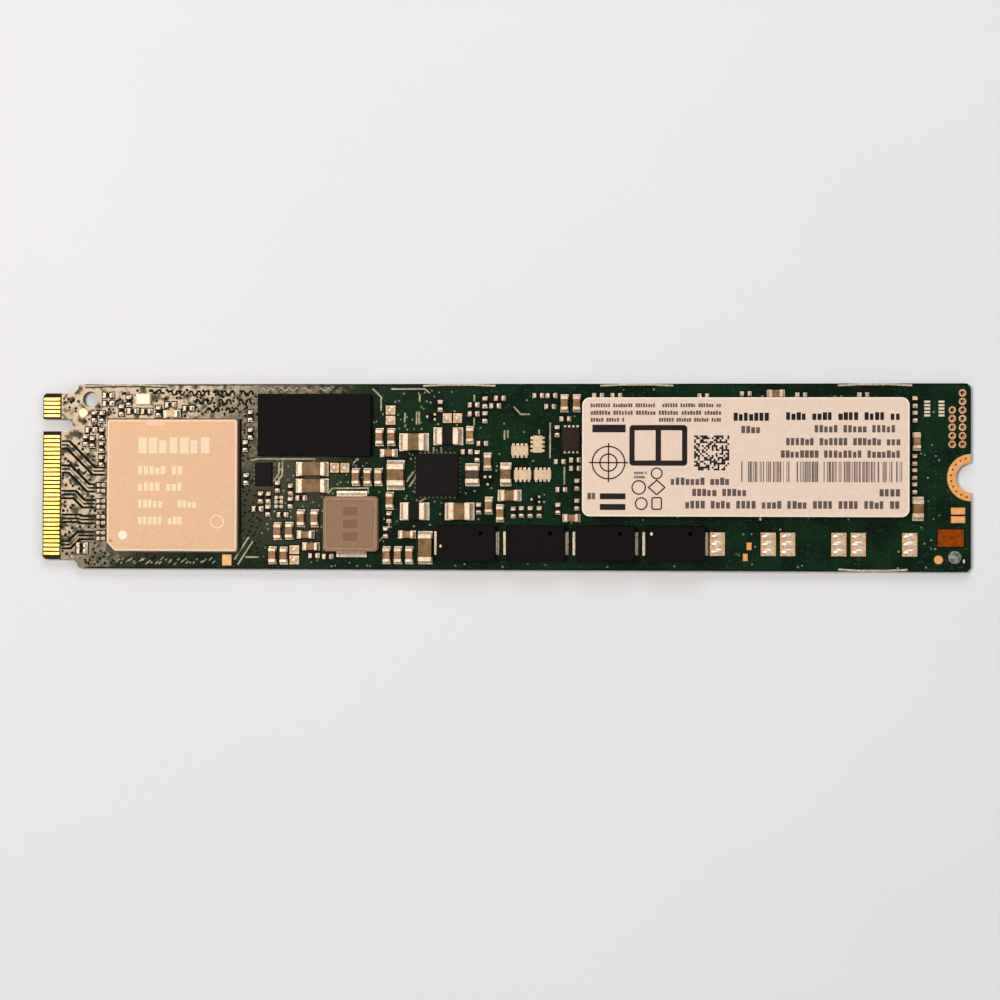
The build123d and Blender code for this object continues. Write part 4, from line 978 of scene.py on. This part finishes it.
class CARD_OT_solder(bpy.types.Operator):
    """Solder that climbs each metal end from its land, and solder lumps on the empty lands"""

    bl_idname = "card.solder"
    bl_label = "Solder"

    FILLET_STEPS = 6
    # Shares of a land's free length, and of an end's width, that a fillet covers
    FILLET_TOE, FILLET_WIDTH = 0.92, 0.94
    RIM_RISE = 0.003
    # A land longer than this carries several strips of paste
    LONG_LAND = 2
    PASTE_STRIPS = 3
    LUMP_RADII = [1, 0.9, 0.7, 0.4, 0.1]
    # The round lump lies within this distance of the card's end
    DISC_INWARD = 4.0
    # Half sizes of a strip, of a lump and of the round lump as shares of their place, and the round one's
    # share of a lump's height
    STRIP_HALF, LUMP_HALF, DISC_HALF = 0.46, 0.45, 0.49
    DISC_SHARE = 0.6

    def execute(self, context):
        solder = context.scene.card_solder
        bright = finish("bright_solder")
        balls = [name for name in NODES if name.endswith("_balls")]
        dress(balls + ["load_switch_leads", "component_lands"], bright)
        dress(["power_manager_leads", "boot_memory_leads"], finish("shaded_leads"))
        dress(["reserve_lands"], finish("gold_under_solder"))
        self.fillets(solder, bright)
        self.lumps(solder, bright)
        self.land_shade_margins(solder)
        return {"FINISHED"}

    def fillets(self, solder, material):
        """Between a metal end's outer face and its land's outer edge, height falls as the square of the
        distance left, so the surface is hollow and meets the land flat. Outward, sideways and up make a
        right-handed frame at each end, whichever way the end faces."""
        land_low, land_high = solid_boxes("component_lands")
        ends = [name for name in NODES if name.endswith("_ends") and "array" not in name]
        low, high = all_boxes(ends + ["inductor_terminals", "polymer_capacitor_leads"])
        middle, half = (low + high)[:, :2] / 2, (high - low)[:, :2] / 2
        above, below = middle[:, None] > land_low[:, :2], middle[:, None] < land_high[:, :2]
        land = (above & below).all(axis=2).argmax(axis=1)
        room = np.concatenate([land_high[land] - high, low - land_low[land]], axis=1)[:, [0, 1, 3, 4]]
        side = room.argmax(axis=1)
        row = np.arange(len(low))
        outward = np.array([(1, 0), (0, 1), (-1, 0), (0, -1)])[side]
        sideways = np.stack([-outward[:, 1], outward[:, 0]], axis=1)
        foot = middle + outward * half
        toe = room[row, side] * self.FILLET_TOE
        width = half[row, 1 - side % 2] * self.FILLET_WIDTH
        climb = (high[:, 2] - LAND_TOP) * solder.fillet_share

        share = np.linspace(0, 1, self.FILLET_STEPS)
        out = np.append(share, 0)
        up = np.append((1 - share) ** 2, 0)
        wing = np.array([-1, 1])
        flat = foot[:, None, None] + (outward * toe[:, None])[:, None, None] * out[None, :, None, None]
        flat = flat + (sideways * width[:, None])[:, None, None] * wing[None, None, :, None]
        height = np.broadcast_to((LAND_TOP + climb[:, None] * up)[:, :, None, None], (*flat.shape[:3], 1))
        points = np.concatenate([flat, height], axis=-1).reshape(-1, 3)

        grid = np.arange(out.size * 2).reshape(-1, 2)
        after = np.roll(grid, -1, axis=0)
        walls = np.stack([grid[:, 0], after[:, 0], after[:, 1], grid[:, 1]], axis=-1)
        first = row * grid.size
        faces = (first[:, None, None] + walls).reshape(-1, 4).tolist()
        faces += (first[:, None] + grid[::-1, 0]).tolist() + (first[:, None] + grid[:, 1]).tolist()
        piece("solder_fillets", (points, faces), material)

    def is_disc(self, low, high):
        """Which empty lands are round: the ones near the card's end."""
        return (low + high)[:, 0] / 2 > CARD_END - self.DISC_INWARD

    def lumps(self, solder, material):
        """On each empty land, three lumps of reflowed paste on a long one and one lump on a short one. A
        lump's height falls as the square of the distance from its middle."""
        low, high = solid_boxes("reserve_lands")
        size, middle = (high - low)[:, :2], (high + low)[:, :2] / 2
        long = size[:, 1] > self.LONG_LAND
        disc = self.is_disc(low, high)
        short = ~long & ~disc
        shift = (np.arange(self.PASTE_STRIPS) - (self.PASTE_STRIPS - 1) / 2) / self.PASTE_STRIPS
        strips = middle[long][:, None] + size[long][:, None] * np.stack([shift * 0, shift], axis=1)
        strip = size[long] * (self.STRIP_HALF, self.STRIP_HALF / self.PASTE_STRIPS)
        strip = np.repeat(strip, self.PASTE_STRIPS, axis=0)
        centres = np.concatenate([strips.reshape(-1, 2), middle[short]])
        halves = np.concatenate([strip, size[short] * self.LUMP_HALF])
        lifts = solder.lump_rise / MM * (1 - np.array(self.LUMP_RADII) ** 2)
        shape = mounds(centres, halves, self.LUMP_RADII, lifts, high[0, 2], sides=14)
        piece("solder_lumps", shape, material).data.shade_smooth()
        half, lifts = size[disc] * self.DISC_HALF, lifts * self.DISC_SHARE
        shape = mounds(middle[disc], half, self.LUMP_RADII, lifts, high[0, 2], sides=24)
        piece("solder_disc", shape, finish("dull_rough_solder")).data.shade_smooth()

    def land_shade_margins(self, solder):
        """A thin dark margin of bare laminate round every land but the round one, made wide and dark as
        painted shade round the parts.
        """
        low, high = solid_boxes("reserve_lands")
        square = ~self.is_disc(low, high)
        fitted_low, fitted_high = all_boxes(["component_lands", "copper_patch"])
        low = np.concatenate([fitted_low, low[square]])
        high = np.concatenate([fitted_high, high[square]])
        rim = solder.rim / MM
        # Painted shade round the parts, drawn as dark bare laminate round the lands
        shape = bars(np.hstack([low[:, :2] - rim, high[:, :2] + rim]), BOARD_TOP, self.RIM_RISE)
        piece("land_margins_and_shade", shape, finish("bare_laminate_and_shade"))


# A line of print: a place's width as a share of the line's height, how many places there are from one empty
# place to the next, a block's share of its place, and how much lower its top may be
PLACE_SHARE = 0.66
EMPTY_EVERY = (5, 10)
BLOCK_SHARE = (0.66, 0.84)
BLOCK_DROPS = (0.0, 0.0, 0.18)


def print_blocks(draw, left, lower, right, upper):
    """Plain blocks that stand for a line of print: one in each equal place of the line, full height or a
    little lower and most of the place wide, with every few places one left empty."""
    height = upper - lower
    count = max(round((right - left) / (height * PLACE_SHARE)), 1)
    pitch = (right - left) / count
    x = left + np.arange(count) * pitch
    kept = (np.arange(count) + 1) % draw.integers(*EMPTY_EVERY) != 0
    wide = pitch * draw.uniform(*BLOCK_SHARE, count)
    top = upper - height * draw.choice(BLOCK_DROPS, count)
    return np.stack([x, x * 0 + lower, x + wide, top], axis=1)[kept]


class CARD_OT_label_print(bpy.types.Operator):
    """Print the label: lines of blocks, a bar, thick frames, thin rings, a block of cells and stripes"""

    bl_idname = "card.label_print"
    bl_label = "Label print"

    # Lines of blocks: left, lower, right and upper, from the label's lower left corner
    LINES = [
        (1.0, 12.8, 8.6, 13.25),
        (9.4, 12.8, 16.3, 13.25),
        (1.0, 11.9, 16.3, 12.4),
        (1.0, 11.1, 5.0, 11.55),
        (9.0, 11.1, 16.3, 11.55),
        (18.6, 9.75, 20.9, 10.6),
        (27.1, 9.85, 37.1, 10.7),
        (23.8, 8.35, 37.1, 9.2),
        (23.2, 6.9, 37.1, 7.75),
        (34.6, 2.4, 37.1, 3.25),
        (12.1, 0.95, 37.0, 1.85),
        (12.9, 2.4, 19.9, 3.25),
        (10.4, 3.7, 17.3, 4.55),
        (0.65, 2.0, 1.7, 2.75),
        (6.1, 4.45, 7.6, 4.75),
        (6.1, 4.95, 7.6, 5.25),
    ]
    HEAVY_LINES = [(17.7, 11.2, 21.9, 12.15), (23.8, 11.3, 37.1, 12.2)]
    BARS = [(1.2, 9.85, 5.1, 10.75), (2.1, 0.75, 5.1, 1.45), (2.1, 2.0, 5.1, 2.7), (8.6, 6.56, 9.25, 10.09)]
    # Uneven stripes: their field, its places, the share of these that are filled, and a stripe's share of one
    STRIPES = (18.6, 4.05, 37.3, 6.45)
    STRIPE_PLACES = 96
    STRIPE_SHARE = 0.75
    STRIPE_WIDTHS = (0.3, 0.9)
    # A square of cells: its left, lower and right, cells along a side, share filled, and size of a filled one
    CELLS = (13.1, 5.4, 17.2)
    CELL_COUNT = 18
    CELL_SHARE = 0.52
    CELL_SIZE = 0.99
    # Thick and thin shapes: frames as left, lower, right, upper and corner radius, then rings and lines
    THICK_FRAME = (5.85, 6.25, 12.0, 10.4, 0.12)
    THICK = 0.62
    THIN_FRAME = (8.2, 0.85, 9.3, 2.2, 0.2)
    THIN_RINGS = [(8.75, 5.05, 0.62), (6.65, 3.4, 0.78), (3.1, 6.3, 1.9), (3.1, 6.3, 1.0), (6.95, 1.5, 0.68)]
    DIAMOND = [(8.75, 2.55), (9.7, 3.4), (8.75, 4.25), (7.8, 3.4), (8.75, 2.55)]
    CROSS_LINES = [[(0.8, 6.3), (5.4, 6.3)], [(3.1, 4.0), (3.1, 8.6)]]
    THIN = 0.16
    # The cross stands higher than the rings that it passes over, by this factor
    CROSS_RISE = 1.5

    def stripes(self, draw):
        """Upright bars of uneven width in equal places, some of them left empty."""
        left, lower, right, upper = self.STRIPES
        edges = np.linspace(left, right, self.STRIPE_PLACES + 1)[:-1]
        wide = (right - left) / self.STRIPE_PLACES * draw.uniform(*self.STRIPE_WIDTHS, self.STRIPE_PLACES)
        stripe = np.stack([edges, edges * 0 + lower, edges + wide, edges * 0 + upper], axis=1)
        return stripe[draw.random(self.STRIPE_PLACES) < self.STRIPE_SHARE]

    def cells(self, draw):
        """A square of equal cells, about half of them filled at random."""
        left, lower, right = self.CELLS
        size = (right - left) / self.CELL_COUNT
        place = np.stack(np.meshgrid(*[np.arange(self.CELL_COUNT)] * 2), axis=-1).reshape(-1, 2)
        low = np.array([left, lower]) + place[draw.random(len(place)) < self.CELL_SHARE] * size
        return np.concatenate([low, low + size * self.CELL_SIZE], axis=1)

    def execute(self, context):
        prints = context.scene.card_print
        draw = np.random.default_rng(23)
        corner = LABEL_LOW[:2]
        level, rise = LABEL_HIGH[2], prints.ink_rise / MM
        soft = finish("soft_printing_ink", dark=prints.soft_ink)
        ink = finish("printing_ink", dark=prints.ink)
        stripes = self.stripes(draw)
        rows = np.concatenate([print_blocks(draw, *line) for line in self.LINES] + [stripes])
        piece("label_lines", bars(rows + np.tile(corner, 2), level, rise), soft)
        rows = [print_blocks(draw, *line) for line in self.HEAVY_LINES] + [self.BARS, self.cells(draw)]
        piece("label_blocks", bars(np.concatenate(rows) + np.tile(corner, 2), level, rise), ink)
        thick = [frame_path(*self.THICK_FRAME)]
        rings = [circle_path(*ring) for ring in self.THIN_RINGS]
        thin = [frame_path(*self.THIN_FRAME)] + rings + [self.DIAMOND]
        for name, paths, width, height in (
            ("label_thick_frames", thick, self.THICK, rise),
            ("label_thin_rings", thin, self.THIN, rise),
            ("label_cross_lines", self.CROSS_LINES, self.THIN, rise * self.CROSS_RISE),
        ):
            paths = [np.array(path) + corner for path in paths]
            piece(name, ribbons(paths, width, level, height), ink)
        return {"FINISHED"}


class CARD_OT_lid_print(bpy.types.Operator):
    """Mark the controller's lid: lines of blocks, a ring, the pin mark's dot, a pale patch and a stain"""

    bl_idname = "card.lid_print"
    bl_label = "Lid marks"

    # Left, lower, right and upper of each line, from the lid's lower left corner
    LINES = [
        (3.8, 11.65, 12.6, 13.55),
        (3.8, 9.15, 9.2, 10.15),
        (3.8, 7.2, 9.2, 8.2),
        (3.8, 5.2, 6.8, 6.15),
        (8.6, 5.2, 10.9, 6.05),
        (3.8, 3.2, 9.2, 4.1),
    ]
    RING = (13.3, 3.55, 0.75)
    RING_WIDTH = 0.14
    # The pin mark lies in a recess of this depth, and the pale patch and the stain are this thick
    PIN_DEPTH = 0.04
    FILM_RISE = 0.002

    def execute(self, context):
        prints = context.scene.card_print
        draw = np.random.default_rng(7)
        corner, level, rise = LID_LOW[:2], LID_HIGH[2], prints.ink_rise / MM
        mark = finish("laser_mark", light=prints.lid_ink)
        rows = [print_blocks(draw, *line) for line in self.LINES]
        piece("lid_marks", bars(np.concatenate(rows) + np.tile(corner, 2), level, rise), mark)
        piece("lid_ring", ribbons([circle_path(*self.RING) + corner], self.RING_WIDTH, level, rise), mark)
        recess, wear = level - self.PIN_DEPTH, self.FILM_RISE
        # Place from the lid's lower left corner, half size, shares of its two rings, height, level and sides
        for name, place, half, radii, high, base, sides, look in (
            ("pin_mark", (1.95, 1.95), 0.55, (0.97, 0.9), rise, recess, 28, "pale_pin_dot"),
            ("lid_pale_patch", (5.9, 15.2), (1.3, 0.24), (1, 0.9), wear, level, 24, "pale_lid_patch"),
            ("lid_stain", (0.5, 1.25), (0.22, 0.13), (1, 0.8), wear, level, 9, "brown_stain"),
        ):
            piece(name, mounds([corner + place], half, radii, (0, high), base, sides), finish(look))
        return {"FINISHED"}


class CARD_OT_wear(bpy.types.Operator):
    """Pale flecks of dust and flux that the card has picked up"""

    bl_idname = "card.wear"
    bl_label = "Wear"

    # Along the card from its middle, across it, half length, half width, and the height it lies at
    FLECKS = [
        (54.2, -9.75, 0.12, 0.26, 0.8),
        (17.9, -6.7, 0.16, 0.2, 2.24),
        (-6.9, -8.2, 0.14, 0.18, 2.24),
        (-18.3, -4.6, 0.1, 0.1, 0.8),
        (30.6, -4.9, 0.14, 0.2, 0.8),
        (-51.4, -9.6, 0.1, 0.14, 0.8),
    ]
    RINGS = [1, 0.7], [0, 0.015]

    def execute(self, context):
        flecks = np.array(self.FLECKS)
        shape = mounds(flecks[:, :2], flecks[:, 2:4], *self.RINGS, flecks[:, 4], sides=9)
        piece("flecks", shape, finish("pale_dust"))
        return {"FINISHED"}


class CARD_OT_stage(bpy.types.Operator):
    """Pale floor, a warm light up to the left that the mask mirrors, side and even light, and the camera"""

    bl_idname = "card.stage"
    bl_label = "Stage"

    # The camera's place in metres, and its turn from straight down as an axis times an angle
    CAMERA_AT = (0.0237, -0.0074, 0.3)
    CAMERA_TURN = (0.01568, 0.07903, 0.00296)
    # The main light's near edge is a slanted line, so the mask mirrors it over the left of the card
    KEY_AT = (-0.2215, 0.078, 0.6)
    KEY_SIZE = (0.26, 0.16)
    KEY_TURN = 42.4
    # A small dim light beside it, which the mask mirrors from the lid to the inductor
    GLOW_AT = (-0.1265, 0.0185, 0.6)
    GLOW_SIZE = (0.037, 0.053)
    # Side lights: place in metres, and share of the side lights' power; each faces the card's middle
    FILLS = [((0.1, -0.75, 0.5), 0.4), ((0.1, 0.75, 0.5), 1.6), ((0.8, 0.0, 0.55), 1.1)]
    FILL_SIZE = (0.6, 0.35)
    WARM = "#fff3e6"
    FLOOR_SPAN = 3.0

    def light(self, name, size, power, colour, place):
        """A rectangular light in metres and watts that faces straight down."""
        lamp = bpy.data.lights.new(name, "AREA")
        lamp.shape = "RECTANGLE"
        lamp.size, lamp.size_y = size
        lamp.energy = power
        lamp.color = linear(colour)[:3]
        obj = bpy.data.objects.new(name, lamp)
        obj.location = place
        bpy.context.scene.collection.objects.link(obj)
        return obj

    def execute(self, context):
        scene, stage = context.scene, context.scene.card_stage
        half = self.FLOOR_SPAN / 2
        mesh = bpy.data.meshes.new("floor")
        corners = [(-half, -half, 0), (half, -half, 0), (half, half, 0), (-half, half, 0)]
        mesh.from_pydata(corners, [], [(0, 1, 2, 3)])
        mesh.materials.append(floor_material())
        floor = bpy.data.objects.new("floor", mesh)
        scene.collection.objects.link(floor)

        key = self.light("key", self.KEY_SIZE, stage.key_power, self.WARM, self.KEY_AT)
        key.rotation_euler = (0, 0, math.radians(self.KEY_TURN))
        self.light("glow", self.GLOW_SIZE, stage.glow_power, self.WARM, self.GLOW_AT)
        for number, (place, share) in enumerate(self.FILLS, start=1):
            fill = self.light(f"fill_{number}", self.FILL_SIZE, stage.fill_power * share, "#ffffff", place)
            fill.rotation_euler = Vector(place).to_track_quat("Z", "Y").to_euler()

        world = bpy.data.worlds.new("even_light")
        world.use_nodes = True
        sky = world.node_tree.nodes["Background"]
        sky.inputs["Color"].default_value = linear("#fff6ee")
        sky.inputs["Strength"].default_value = stage.sky
        scene.world = world
        scene.view_settings.view_transform = "Standard"

        lens = bpy.data.cameras.new("camera")
        lens.lens = stage.lens
        lens.sensor_width = 36
        lens.clip_start = 0.01
        camera = bpy.data.objects.new("camera", lens)
        turn = Vector(self.CAMERA_TURN)
        turned = Matrix.Rotation(turn.length, 4, turn.normalized())
        camera.matrix_world = Matrix.Translation(self.CAMERA_AT) @ turned
        scene.collection.objects.link(camera)
        scene.camera = camera
        return {"FINISHED"}


class CARD_PT_panel(bpy.types.Panel):
    """Lists the drive card's settings and pieces"""

    bl_idname = "CARD_PT_panel"
    bl_label = "Drive card"
    bl_space_type = "VIEW_3D"
    bl_region_type = "UI"
    bl_category = "Drive card"

    def draw(self, context):
        for name, group in GROUPS.items():
            for setting in group.__annotations__:
                self.layout.prop(getattr(context.scene, name), setting)
        for operator in OPERATORS:
            self.layout.operator(operator.bl_idname)


GROUPS = {
    "card_mask": MaskSettings,
    "card_solder": SolderSettings,
    "card_print": PrintSettings,
    "card_stage": StageSettings,
}
OPERATORS = (
    CARD_OT_board,
    CARD_OT_traces,
    CARD_OT_vias,
    CARD_OT_contacts,
    CARD_OT_packages,
    CARD_OT_lid,
    CARD_OT_inductor,
    CARD_OT_label,
    CARD_OT_chips,
    CARD_OT_solder,
    CARD_OT_label_print,
    CARD_OT_lid_print,
    CARD_OT_wear,
    CARD_OT_stage,
)


def register():
    for group in GROUPS.values():
        bpy.utils.register_class(group)
    for name, group in GROUPS.items():
        setattr(bpy.types.Scene, name, bpy.props.PointerProperty(type=group))
    for operator in OPERATORS:
        bpy.utils.register_class(operator)
    bpy.utils.register_class(CARD_PT_panel)


def unregister():
    bpy.utils.unregister_class(CARD_PT_panel)
    for operator in reversed(OPERATORS):
        bpy.utils.unregister_class(operator)
    for name, group in GROUPS.items():
        delattr(bpy.types.Scene, name)
        bpy.utils.unregister_class(group)


def main():
    register()
    for operator in OPERATORS:
        prefix, name = operator.bl_idname.split(".")
        getattr(getattr(bpy.ops, prefix), name)()


if __name__ == "__main__":
    main()
